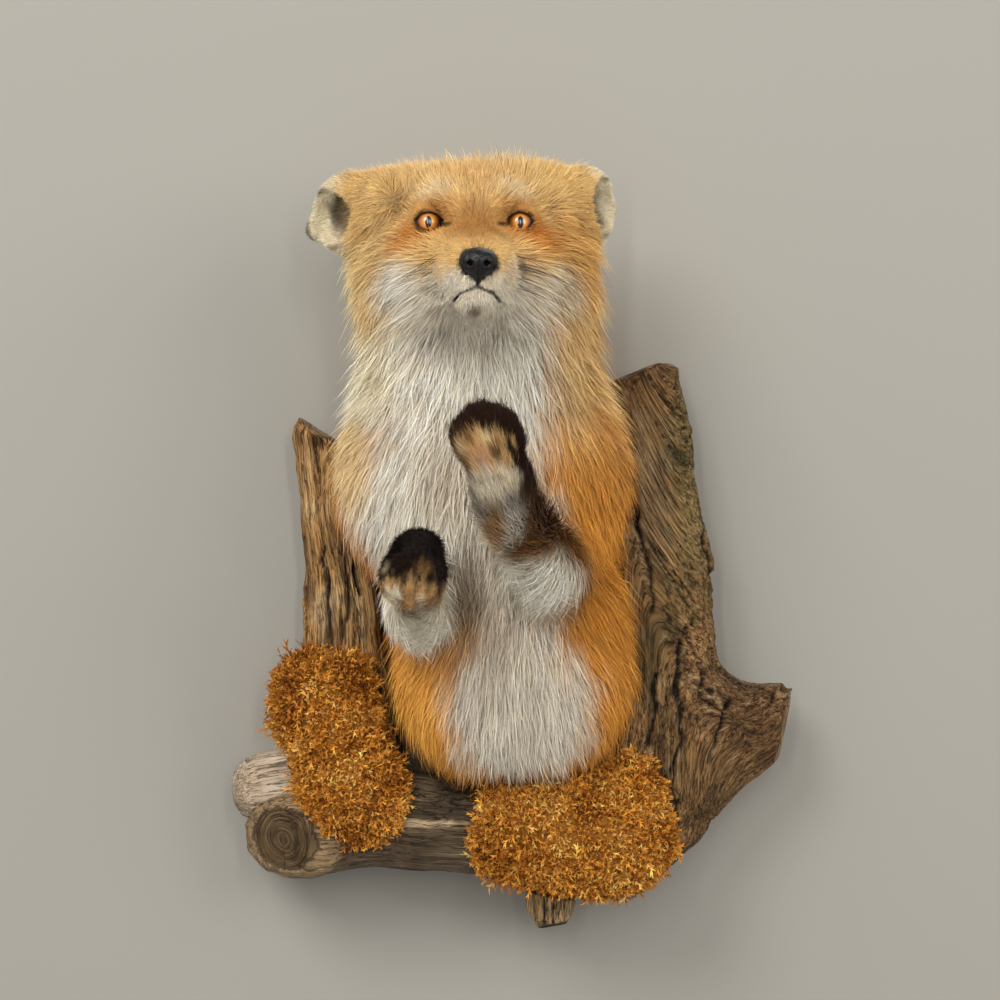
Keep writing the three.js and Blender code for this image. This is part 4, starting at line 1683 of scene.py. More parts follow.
    def _grow(self, patch: Patch, points: Array, spots: Array, rng: np.random.Generator) -> bpy.types.Object:
        """Grows one patch of tufts.

        Args:
            patch: The patch.
            points: The corners of its triangles of skin.
            spots: The same corners on the skin's map.
            rng: The patch's own random numbers.

        Returns:
            The patch's object.
        """
        roots, places = self._roots(patch, points, spots, rng)
        shares = self.fox.shares(roots)
        length, depth = self._lengths(roots, shares)
        guard = rng.random(len(roots)) < self.guard_share
        length *= rng.uniform(0.6, 1.1, len(roots)) * np.where(guard, 1.25, 1.0)
        length *= 1.0 + 0.22 * Noise(33, (7.0, 7.0, 7.0)).at(roots)
        normals = self.skin.flesh.look_up(roots)[1]
        along = self.pelage.lie(roots, normals, shares)
        turn = rng.normal(0.0, 0.13, len(roots)) + 0.09 * Noise(31, (26.0, 26.0, 34.0)).layered(roots, 2)
        along = unit(along * np.cos(turn)[:, None] + np.cross(normals, along) * np.sin(turn)[:, None])
        stand = rng.uniform(0.45, 1.12, len(roots)) * patch.lift * np.where(guard, 1.35, 1.0)
        stand *= 1.0 + 1.8 * self._beside_muzzle(HEAD.inside(roots)) * shares["head"]
        curl = rng.normal(0.0, 0.09, len(roots)) + 0.04 * Noise(37, (14.0, 14.0, 14.0)).at(roots)
        free = np.where(guard, 0.9, patch.free)
        paths = self._paths(roots, along, length, stand, curl, free)
        paths = self._clumped(paths, patch, rng)
        colours = self._tuft_colours(paths, depth, rng)
        name = "coat_" + patch.region.name.lower()
        return self._ribbons(name, paths, normals, length, colours, places, rng)

    def _paths(
        self, roots: Array, along: Array, length: Array, stand: Array, curl: Array, free: Array
    ) -> Array:
        """The points that each tuft follows along the body, from its root to its tip.

        Args:
            roots: Where the tufts start.
            along: The directions that they start in.
            length: How long they are.
            stand: How high their tips stand, against the coat's depth.
            curl: How much they turn at each bend.
            free: How freely they stand off the body, from 0 to 1.

        Returns:
            A point for each tuft at its root, its bends and its tip.
        """
        paths = [roots]
        here = roots
        for step in range(1, self.bends + 1):
            share = step / self.bends
            _, normal = self.skin.flesh.look_up(here)
            rise = (along * normal).sum(axis=1)
            along = unit(along - normal * (rise * np.where(rise > 0, 0.85 * (1.0 - free), 0.85))[:, None])
            along = unit(along + np.cross(normal, along) * curl[:, None])
            here = here + along * (length / self.bends)[:, None]
            height, normal = self.skin.flesh.look_up(here)
            room = -self.skin.coat.look_up(here)[0]
            full = np.minimum(np.clip(height + room, 0.8, 34.0), 0.75 * length)
            wanted = full * stand * math.sin(share * math.pi * 0.5) ** 0.8
            needed = wanted - height
            here = here + normal * (needed * np.where(needed > 0, 0.9, 0.9 * (1.0 - free)))[:, None]
            paths.append(here)
        return np.stack(paths, axis=1)

    def _clumped(self, paths: Array, patch: Patch, rng: np.random.Generator) -> Array:
        """The paths with their tips drawn together into locks, small ones inside large ones."""
        count = len(paths)
        share = np.linspace(0.0, 1.0, paths.shape[1])[None, :, None]
        for size, pull in ((patch.clump, 0.10), (patch.clump * 0.35, 0.18)):
            spread = max(1.0, size * size * count / max(self._spread(paths[:, 0]), 1.0))
            leaders = rng.permutation(count)[: max(8, int(count / spread))]
            tree = KDTree(len(leaders))
            for place, leader in enumerate(leaders):
                tree.insert(paths[leader, 0], place)
            tree.balance()
            nearest = np.array([leaders[tree.find(root)[1]] for root in paths[:, 0]])
            drawn = pull * rng.uniform(0.5, 1.2, count)[:, None, None] * share**1.6
            paths = paths + (paths[nearest] - paths) * drawn
        return paths

    def _spread(self, roots: Array) -> float:
        """The area that roots cover, from the cells of a grid that they fall in."""
        cell = 4.0
        return len(np.unique(np.floor(roots / cell).astype(np.int64), axis=0)) * cell * cell * 0.8

    def _tuft_colours(self, paths: Array, depth: Array, rng: np.random.Generator) -> Array:
        """The colours of each tuft at each of its points, with painted shade: darker at the root, the more so where
        the coat is deep, and paler at the tip.
        """
        count, steps = paths.shape[:2]
        middle = paths[:, steps // 2]
        painted = self.pelage.colours(middle)
        painted *= np.exp(rng.normal(0.0, 0.18, count))[:, None]
        painted *= 1.0 + rng.normal(0.0, 0.04, (count, 3)) * np.array([0.4, 0.2, 1.0])
        rows = np.arange(steps) / (steps - 1)
        # painted shade: each tuft is darkened towards its root, more where the coat is deep, and lightened towards
        # its tip
        deep = smoothstep(2.0, 12.0, depth)[:, None]
        shade = (0.86 - 0.18 * deep) + (0.22 + 0.27 * deep) * rows[None]
        return np.clip(painted[:, None, :] * shade[:, :, None], 0.0, 0.95)

    def _ribbons(
        self,
        name: str,
        paths: Array,
        normals: Array,
        length: Array,
        colours: Array,
        places: Array,
        rng: np.random.Generator,
    ) -> bpy.types.Object:
        """Turns paths into tapered blades that face away from the skin.

        Args:
            name: The piece's name.
            paths: The points that each tuft follows.
            normals: The skin's normal at each root.
            length: How long each tuft is.
            colours: The colour of each tuft at each of its points.
            places: Each root's place on the skin's map.
            rng: The patch's own random numbers.

        Returns:
            The patch's object, painted and mapped.
        """
        count, steps = paths.shape[:2]
        chord = unit(paths[:, -1] - paths[:, 0])
        out = unit(normals - chord * (normals * chord).sum(axis=1, keepdims=True))
        roll = rng.normal(0.0, 0.55, count)[:, None]
        side = np.cross(chord, out)
        side = unit(side * np.cos(roll) + out * np.sin(roll))
        width = (self.finest + self.slender * length) * rng.uniform(0.7, 1.25, count)
        half = 0.5 * side[:, None, :] * (width[:, None] * np.array([[0.85, 1.0]]))[:, :, None]
        body = paths[:, :-1]
        edges = np.stack([body - half, body + half], axis=2).reshape(count, -1, 3)
        rows = np.concatenate([edges, paths[:, -1:]], axis=1)
        rows[..., 1] = np.minimum(rows[..., 1], WALL)
        per = rows.shape[1]
        faces = [*strip_faces(steps - 1), per - 3, per - 2, per - 1]
        corners = (np.arange(count)[:, None] * per + np.array(faces)[None]).ravel()
        piece = new_object(name, rows.reshape(-1, 3), np.full(len(corners) // 3, 3), corners)
        tint = np.concatenate([np.repeat(colours[:, :-1], 2, axis=1), colours[:, -1:]], axis=1)
        paint(piece, "Coat", tint.reshape(-1, 3))
        across = np.tile([-1.0, 1.0], steps - 1).tolist() + [0.0]
        up = np.repeat(np.linspace(-1.0, 1.0, steps)[:-1], 2).tolist() + [1.0]
        square = np.stack([across, up], axis=1) * (BAKE_PATCH / 2.0)
        spots = (places[:, None] + square[None]).reshape(-1, 2)[corners].clip(0.0, 1.0)
        layer = piece.data.uv_layers.new(name="OFBake")
        layer.data.foreach_set("uv", spots.astype(np.float32).ravel())
        smooth(piece)
        return piece



# ---- Eyes, nose, claws and whiskers ---------------------------------------------------------------------


@dataclass
class Eyes:
    """The two glass eyes.

    Attributes:
        fox: The animal's form.
        bulge: How far the clear front stands over the ball.
    """

    fox: Fox
    bulge: float = 0.5

    def build(self) -> None:
        """Builds both eyes, each turned slightly outwards."""
        material = EyeFinish().material()
        for name, side, centre in zip(("right", "left"), (-1, 1), self.fox.eye_centres()):
            middle = HEAD.outside(centre[None])[0]
            bpy.ops.mesh.primitive_uv_sphere_add(segments=64, ring_count=40, radius=EYE_RADIUS * MM)
            piece = bpy.context.active_object
            piece.name = piece.data.name = "glass_eye_" + name
            points = vertex_points(piece) / EYE_RADIUS
            raised = 1.0 + self.bulge / EYE_RADIUS * smoothstep(0.62, 0.95, points[:, 2])
            gaze = HEAD.turned(unit(np.array([[side * 0.05, -1.0, -0.04]])))[0]
            up = unit(np.array([0.0, 0.0, 1.0]) - gaze * gaze[2])
            axes = np.stack([np.cross(up, gaze), up, gaze], axis=1)
            move_vertices(piece, (points * EYE_RADIUS * raised[:, None]) @ axes.T + middle)
            paint(piece, "Gaze", points)
            smooth(piece)
            finish_piece(piece, material, "glass_eye", ["eye_" + name])


@dataclass
class Nose:
    """The bare pad of the nose.

    Attributes:
        cell: The grid on which the pad is found.
        tip: A point at its front, in the head's frame.
    """

    cell: float = 0.55
    tip: Triple = (0.5, -72.0, -31.0)

    def build(self) -> None:
        """Builds the pad with its nostrils."""
        low = HEAD.outside(np.array([self.tip]))[0] + np.array([-15.0, -12.0, -14.0])
        high = low + np.array([30.0, 30.0, 28.0])
        grid = VoxelField(tuple(low), tuple(high), self.cell)
        grid.fill(self._pad, 2.0)
        points, quads = grid.surface()
        piece = new_object("nose_pad", points, np.full(len(quads), 4), quads.ravel())
        smooth(piece)
        finish_piece(piece, LeatherFinish().material(), "nose_skin", ["nose"])

    def _pad(self, points: Array) -> Array:
        """Each point's distance to the pad."""
        local = HEAD.inside(points)
        folded = local - np.array([self.tip[0], 0.0, 0.0])
        folded[:, 0] = np.abs(folded[:, 0])
        middle = Ball((0, -68.0, -31.0), (7.6, 9.5, 7.9)).distance(folded, 0)
        wing = Ball((6.2, -67.0, -31.2), (4.6, 8.0, 6.2)).distance(folded, 0)
        lip = Limb((0, -69.0, -37), 4.0, (0, -66, -42.5), 2.0).distance(folded, 0)
        pad = joined(4.0, [middle, wing, lip])
        hole = Limb((4.3, -80, -33.2), 1.7, (4.9, -70, -32.6), 1.1).distance(folded, 0)
        slit = Limb((5.6, -79, -33.6), 1.0, (9.8, -69, -35.2), 0.6).distance(folded, 0)
        pad = -joined(1.2, [-pad, joined(1.5, [hole, slit])])
        groove = np.maximum(np.abs(folded[:, 0]) - 0.3, local[:, 2] + 31.0)
        pad = np.maximum(pad, np.minimum(-groove, pad + 0.7))
        return np.maximum(pad, local[:, 1] + 60.0)


@dataclass
class Claws:
    """The claws at the ends of the toes, joined into one piece for each paw.

    Attributes:
        length: How long a claw is.
        thick: Its radius at the root.
        rings: How many rings of points it has.
        sides: How many points a ring has.
    """

    length: float = 6.5
    thick: float = 1.3
    rings: int = 7
    sides: int = 8

    def build(self) -> None:
        """Builds both paws' claws."""
        material = HornFinish("Claw horn", "20160f", "5a4734").material()
        for name, leg in zip(("left", "right"), LEGS):
            rows, faces, start = [], [], 0
            for place in TOE_PLACES:
                reach = -35.5 if abs(place) > 1 else -40.5
                root = np.array([place * leg.toe_spread * 1.1, 0.5, reach])
                claw, quads = self._claw(root)
                rows.append(leg.paw.outside(claw))
                faces.append(quads + start)
                start += len(claw)
            quads = np.concatenate(faces)
            piece = new_object("claws_" + name, np.concatenate(rows), np.full(len(quads), 4), quads.ravel())
            smooth(piece)
            finish_piece(piece, material, "dark_fur")

    def _claw(self, root: Array) -> tuple[Array, Array]:
        """One claw, curving down from its root in the paw's frame."""
        share = np.linspace(0.0, 1.0, self.rings)
        bend = 1.15 * share
        curve = np.stack([0 * share, -(1 - np.cos(bend)) * 0.8, -np.sin(bend) * 0.85], axis=1)
        middle = root + self.length * curve
        radius = self.thick * np.sqrt(np.maximum(1.0 - share, 0.0015))
        angle = np.linspace(0.0, 2 * math.pi, self.sides, endpoint=False)
        ring = np.stack([np.cos(angle) * 0.7, np.sin(angle)], axis=1)
        out = np.stack([0 * bend, np.cos(bend), -np.sin(bend)], axis=1)
        points = middle[:, None] + radius[:, None, None] * (
            ring[None, :, :1] * np.array([1.0, 0, 0]) + ring[None, :, 1:] * out[:, None]
        )
        return points.reshape(-1, 3), tube_faces(self.rings, self.sides)


def tube_faces(rings: int, sides: int) -> Array:
    """The quads of a tube, ring after ring."""
    ring = np.arange(rings - 1)[:, None] * sides
    side = np.arange(sides)[None]
    following = (side + 1) % sides
    quads = [ring + side, ring + sides + side, ring + sides + following, ring + following]
    return np.stack(quads, axis=-1).reshape(-1, 4)


@dataclass
class Whiskers:
    """The long stiff hairs of the muzzle and the brows.

    Attributes:
        fox: The animal's form.
        seed: Which random numbers place them.
        rings: How many rings of points a whisker has.
        sides: How many points a ring has.
        root_radius: A whisker's radius at its root.
    """

    fox: Fox
    seed: int = 3
    rings: int = 9
    sides: int = 4
    root_radius: float = 0.19

    def build(self) -> None:
        """Builds every whisker as one piece."""
        rng = np.random.default_rng(self.seed)
        starts, ways, lengths = [], [], []
        for side, count in ((-1, 9), (1, 14)):
            for _ in range(count):
                starts.append([side * rng.uniform(13, 22), rng.uniform(-58, -42), rng.uniform(-40, -25)])
                ways.append([side * 1.0, rng.uniform(-0.1, 0.45), rng.uniform(-0.55, 0.10)])
                lengths.append(rng.uniform(24, 46) if side < 0 else rng.uniform(34, 62))
        for x, length in ((20, 46), (-19, 24), (24, 30)):
            starts.append([x, -13, 16])
            ways.append([rng.uniform(-0.25, 0.1), -0.25, 1.0])
            lengths.append(length)
        roots = settled(lambda p: self.fox.head(p, 0.0), HEAD.outside(np.array(starts)), 5)
        along = HEAD.turned(unit(np.array(ways)))
        share = np.linspace(0.0, 1.0, self.rings)[None, :, None]
        sag = np.array([0.0, 0.12, -0.22]) * rng.uniform(0.4, 1.3, len(roots))[:, None]
        reach = np.array(lengths)[:, None]
        middle = roots[:, None] - along[:, None] * 1.5 + (along * reach)[:, None] * share
        middle = middle + (sag * reach)[:, None] * share**2
        radius = self.root_radius * (1.0 - share[0, :, 0] * 0.85)
        across = unit(np.cross(along, np.array([0.0, 0.0, 1.0]) + 0.01))
        other = np.cross(along, across)
        angle = np.linspace(0.0, 2 * math.pi, self.sides, endpoint=False)
        ring = np.cos(angle)[:, None] * across[:, None] + np.sin(angle)[:, None] * other[:, None]
        points = middle[:, :, None] + radius[None, :, None, None] * ring[:, None]
        first = np.arange(len(roots))[:, None, None] * self.rings * self.sides
        faces = (first + tube_faces(self.rings, self.sides)[None]).reshape(-1, 4)
        piece = new_object("whiskers", points.reshape(-1, 3), np.full(len(faces), 4), faces.ravel())
        smooth(piece)
        finish_piece(piece, HornFinish("Whisker horn", "0e0a08", "2a1e16").material(), "dark_fur")


# ---- Driftwood ------------------------------------------------------------------------------------------


@dataclass(frozen=True)
class Cut:
    """A sawn face: a point on it and the way it faces.

    Attributes:
        point: Where the face is.
        normal: The way it faces.
        colour: Six hex digits.
        radii: The half-sizes of an oval face with a raised rim of bark, or None for a whole flat face.
    """

    point: Triple
    normal: Triple
    colour: str
    radii: Triple | None = None


@dataclass(frozen=True)
class Stain:
    """A soft patch of another tone on the wood."""

    colour: str
    centre: Triple
    radii: Triple
    strength: float = 0.7


@dataclass
class Driftwood:
    """One length of weathered wood, carved on a fine copy of its plain solid.

    Attributes:
        node: The solid that it stands for.
        start: Where its grain starts.
        end: Where its grain runs to.
        tones: Its dark, middle and light tones.
        slot: The record's slot.
        seed: Which noise it wears.
        cell: The size of its faces.
        relief: How deep its weathering is.
        cracks: How strongly it is split along its grain.
        knots: Middles and sizes of the knots that the grain runs round.
        cuts: Its sawn faces.
        stains: Patches of other tones.
        branch: Where a branch's own grain starts and runs to.
        marks: How strongly its streaks and specks are coloured.
        splits: Long cracks in its front, each as points across and up.
    """

    node: str
    start: Triple
    end: Triple
    tones: tuple[str, str, str]
    slot: str = "driftwood"
    seed: int = 1
    cell: float = 1.7
    relief: float = 1.0
    cracks: float = 1.0
    knots: tuple[tuple[Triple, float], ...] = ()
    cuts: tuple[Cut, ...] = ()
    stains: tuple[Stain, ...] = ()
    branch: tuple[Triple, Triple] | None = None
    marks: float = 1.0
    splits: tuple[tuple[tuple[float, float], ...], ...] = ()

    def build(self) -> None:
        """Carves, paints and dresses the piece."""
        piece = fine_copy(self.node, self.node + "_grained", self.cell)
        points, normals = vertex_points(piece), vertex_normals(piece)
        grain = self._grain(points)
        sawn, sawn_colour, raised, grain = self._sawn(points, normals, grain)
        depth, crack = self._carving(points, grain)
        depth = depth * (1.0 - 0.85 * sawn) + raised
        room = smoothstep(0.0, 5.0, -points[:, 1] + WALL)
        points = points + normals * (depth * room)[:, None]
        points[:, 1] = np.minimum(points[:, 1], WALL)
        move_vertices(piece, points)
        smooth(piece)
        paint(piece, "Grain", grain * MM)
        tones = self._tones(points, grain, depth, crack)
        paint(piece, "Tone", np.clip(blended(tones, sawn_colour, sawn), 0.005, 0.9))
        finish = WoodFinish("Weathered " + self.node.replace("_", " "), self.marks)
        finish_piece(piece, finish.material(), self.slot, [self.node])

    def _grain(self, points: Array) -> Array:
        """Coordinates across the grain and, shrunk, along it, bent round the knots."""
        along = np.array(self.end) - np.array(self.start)
        place = aimed_place(np.array(self.start), along, np.array([0, 1.0, 0.01]))
        if self.branch is not None:
            root, tip = (np.array(end, dtype=float) for end in self.branch)
            along = unit(tip - root)
            reach = (points - root) @ along
            turn = smoothstep(-10.0, 50.0, reach) * math.radians(55.0)
            offset = points - root
            bent_x = offset[:, 0] * np.cos(turn) - offset[:, 2] * np.sin(turn)
            bent_z = offset[:, 0] * np.sin(turn) + offset[:, 2] * np.cos(turn)
            points = root + np.stack([bent_x, offset[:, 1], bent_z], axis=1)
        bent = points.copy()
        bent += 2.6 * np.stack([Noise(self.seed + i, (34, 34, 60)).at(points) for i in (1, 2, 3)], axis=1)
        for centre, size in self.knots:
            offset = points - np.array(centre)
            gap = np.linalg.norm(offset, axis=1)
            bent += unit(offset) * (size * np.exp(-((gap / (size * 1.6)) ** 2)))[:, None] * 1.2
        grain = place.inside(bent)
        return grain * np.array([1.0, 1.0, 0.055])

    def _carving(self, points: Array, grain: Array) -> tuple[Array, Array]:
        """How far the weathered surface stands over the plain one, and how deep in a crack each point is."""
        lumps = Noise(self.seed + 40, (26, 26, 26)).layered(points, 2) * 1.3
        ridges = Noise(self.seed + 50, (5.5, 5.5, 5.5)).layered(grain, 3)
        ridges = (0.5 - np.abs(ridges)) * 1.15
        fine = Noise(self.seed + 60, (2.2, 2.2, 2.2)).layered(grain, 2) * 0.45
        split = np.abs(Noise(self.seed + 70, (15, 15, 13)).layered(grain, 2))
        where = smoothstep(-0.15, 0.35, Noise(self.seed + 80, (34, 34, 60)).at(points))
        crack = smoothstep(0.085, 0.0, split) * where * self.cracks
        wander = 1.6 * Noise(self.seed + 85, (7, 7, 11)).layered(points, 2)
        flat = np.stack([points[:, 0] + wander, points[:, 2]], axis=1)
        for path in self.splits:
            run = np.array(path, dtype=float)
            for start, end in zip(run[:-1], run[1:]):
                split = smoothstep(1.9, 0.6, run_gap(flat, start, end))
                crack = np.maximum(crack, split * (points[:, 1] < -30.0))
        depth = (lumps + ridges + fine) * self.relief - 3.4 * crack - 0.6
        for centre, size in self.knots:
            gap = np.linalg.norm(points - np.array(centre), axis=1) / size
            lip, hole = np.exp(-((gap - 0.75) ** 2) * 6.0), smoothstep(0.6, 0.0, gap)
            depth += size * (0.14 * lip - 0.28 * hole)
        return depth, crack

    def _sawn(self, points: Array, normals: Array, grain: Array) -> tuple[Array, Array, Array, Array]:
        """Finds the sawn faces and the bark round them.

        Args:
            points: The piece's vertices.
            normals: Its normals there.
            grain: The coordinates of the grain there.

        Returns:
            How sawn each point is, its colour, the height of its bark, and the grain, turned on the faces.
        """
        share, raised = np.zeros((2, len(points)))
        colours = np.zeros((len(points), 3))
        wavy = Noise(self.seed, (9, 9, 9))
        for cut in self.cuts:
            facing = unit(np.array(cut.normal, dtype=float))
            offset = points - np.array(cut.point)
            height = offset @ facing
            flat = offset - np.outer(height, facing)
            if cut.radii is None:
                own = smoothstep(3.2, 1.6, np.abs(height)) * smoothstep(0.6, 0.85, normals @ facing)
                middle = flat[own > 0.5].mean(axis=0) if (own > 0.5).any() else np.zeros(3)
                band = np.zeros(len(points))
            else:
                reach = np.linalg.norm(flat / np.array(cut.radii), axis=1) + 0.07 * wavy.at(points)
                ahead = smoothstep(0.0, 0.35, normals @ facing) * smoothstep(-24.0, -14.0, height)
                own = smoothstep(1.06, 0.94, reach) * ahead
                band = smoothstep(1.75, 1.45, reach) * smoothstep(0.9, 1.1, reach)
                band *= smoothstep(-0.4, 0.0, normals @ facing) * smoothstep(-34.0, -24.0, height)
                middle = np.zeros(3)
            radius = np.linalg.norm(flat - middle, axis=1)
            rings = np.sin(radius * 2.1 + 3.0 * wavy.layered(points, 2))
            mottle = 1.0 + 0.25 * rings + 0.35 * Noise(9, (5, 5, 5)).layered(points, 3)
            rough = 1.0 + 0.3 * Noise(7, (4, 4, 9)).layered(points, 2)
            face = linear(cut.colour)[None] * mottle[:, None]
            bark = linear("a98b64")[None] * rough[:, None]
            face = blended(face, bark, band * (1.0 - own))
            raised += 1.8 * band * (1.0 - own)
            round_it = np.arctan2(flat[:, 0], flat[:, 2]) * radius * 0.06
            turned = np.stack([radius, np.zeros(len(points)), round_it], axis=1)
            grain = blended(grain, turned, (own > 0.5).astype(float))
            own = np.maximum(own, band * 0.8)
            better = own > share
            colours[better] = face[better]
            share = np.maximum(share, own)
        return share, colours, raised, grain

    def _tones(self, points: Array, grain: Array, depth: Array, crack: Array) -> Array:
        """The colour of each point: by height, lighter where the surface stands out and darker where it sinks
        (painted light and shade), by streaks along the grain, by stains, dark in the cracks (painted shade over the
        cracks' own dark) and dark at the knots.
        """
        streaks = Noise(self.seed + 90, (7, 7, 7)).layered(grain, 3)
        clouds = Noise(self.seed + 95, (30, 30, 40)).layered(points, 3)
        # painted light and shade: higher points lighter, sunk points darker
        value = 0.5 + 0.34 * streaks + 0.30 * clouds + 0.16 * depth
        dark, middle, light = self.tones
        colours = blended(plain(dark, len(points)), linear(middle), smoothstep(0.0, 0.5, value))
        colours = blended(colours, linear(light), smoothstep(0.5, 1.15, value))
        ragged = 0.3 * Noise(self.seed + 99, (8, 8, 12)).layered(points, 3)
        for stain in self.stains:
            reach = reach_from(points, stain.centre, stain.radii) + ragged
            colours = blended(colours, linear(stain.colour), stain.strength * smoothstep(1.25, 0.6, reach))
        # painted shade in the cracks, over their own dark wood
        colours = blended(colours, linear("1c130b"), np.clip(crack * 1.1, 0.0, 0.93))
        for centre, size in self.knots:
            gap = np.linalg.norm(points - np.array(centre), axis=1) / size
            colours = blended(colours, linear("2a1c10"), 0.85 * smoothstep(0.75, 0.3, gap))
        return colours


WOOD: tuple[Driftwood, ...] = (
    Driftwood(
        "driftwood_slab",
        start=(96, -36, 140),
        end=(96, -42, -150),
        tones=("5c4224", "9a7144", "c49c68"),
        seed=11,
        cell=1.55,
        branch=((112, -40, -88), (190, -34, -70)),
        knots=(((128, -62, -58), 6.0), ((150, -52, -84), 5.0)),
        splits=(
            ((80, 70), (84, 44), (90, 20), (93, -8)),
            ((94, -46), (95, -66), (90, -88)),
            ((112, -26), (108, -50), (111, -84), (99, -112)),
            ((124, 56), (127, 30), (133, 8)),
            ((142, -62), (134, -78), (128, -100)),
        ),
        cuts=(
            Cut((107, -36, 149), (-0.37, 0, 0.93), "7b6244"),
            Cut((182, -34, -60), (0.97, -0.12, -0.2), "a08058"),
            Cut((93, 0, -175), (0.61, 0, -0.79), "6e553a"),
        ),
        stains=(
            Stain("6b6637", (118, -40, 70), (16, 40, 90), 0.55),
            Stain("57512c", (96, -70, -20), (16, 30, 60), 0.35),
            Stain("4a3018", (148, -50, -70), (50, 40, 34), 0.55),
            Stain("8c6a40", (120, -60, -110), (40, 30, 30), 0.5),
            Stain("9a8664", (84, -60, 60), (22, 30, 60), 0.45),
        ),
    ),
    Driftwood(
        "driftwood_log",
        start=(-128, -44, -146),
        end=(76, -42, -148),
        tones=("3d3123", "695640", "98856c"),
        seed=23,
        marks=0.5,
        relief=0.8,
        cracks=0.8,
        cuts=(Cut((-131, -62, -147), (-0.45, -0.86, -0.20), "5f4a30", (24, 20, 18)),),
        stains=(
            Stain("c8b08a", (-42, -70, -137), (22, 30, 2.2), 0.9),
            Stain("7a6650", (-86, -60, -160), (30, 26, 26), 0.5),
        ),
    ),
    Driftwood(
        "driftwood_post",
        start=(-116, -34, 110),
        end=(-94, -36, -100),
        tones=("77552f", "bd8f56", "e8c288"),
        seed=31,
        cell=1.5,
        relief=1.1,
        cracks=1.1,
        cuts=(Cut((-128, -34, 114), (0.53, 0, 0.85), "8d6f49"),),
        splits=(
            ((-103, 84), (-99, 48), (-94, 6), (-96, -28)),
            ((-110, 30), (-106, 4), (-108, -24)),
            ((-90, 36), (-86, 2)),
        ),
        stains=(
            Stain("c4a67c", (-108, -56, -8), (10, 14, 16), 0.8),
            Stain("b99a6c", (-84, -56, -10), (6, 10, 22), 0.7),
            Stain("5a3d20", (-96, -54, 40), (8, 14, 40), 0.5),
        ),
    ),
    Driftwood(
        "driftwood_peg",
        start=(33, -42, -150),
        end=(31, -40, -214),
        tones=("8a6c48", "c8a676", "ead0a4"),
        seed=43,
        cell=1.2,
        relief=0.6,
        cuts=(Cut((30, 0, -204), (0.18, 0, -1), "5e482e"),),
    ),
    Driftwood(
        "driftwood_knob",
        start=(-146, -36, -119),
        end=(-90, -38, -112),
        tones=("bca488", "dac6ac", "ecdcc6"),
        slot="bleached_wood",
        seed=53,
        cell=1.4,
        relief=0.45,
        cracks=0.6,
        marks=0.3,
        stains=(Stain("8d7860", (-150, -40, -138), (30, 40, 10), 0.5),),
    ),
)


# ---- Moss -----------------------------------------------------------------------------------------------


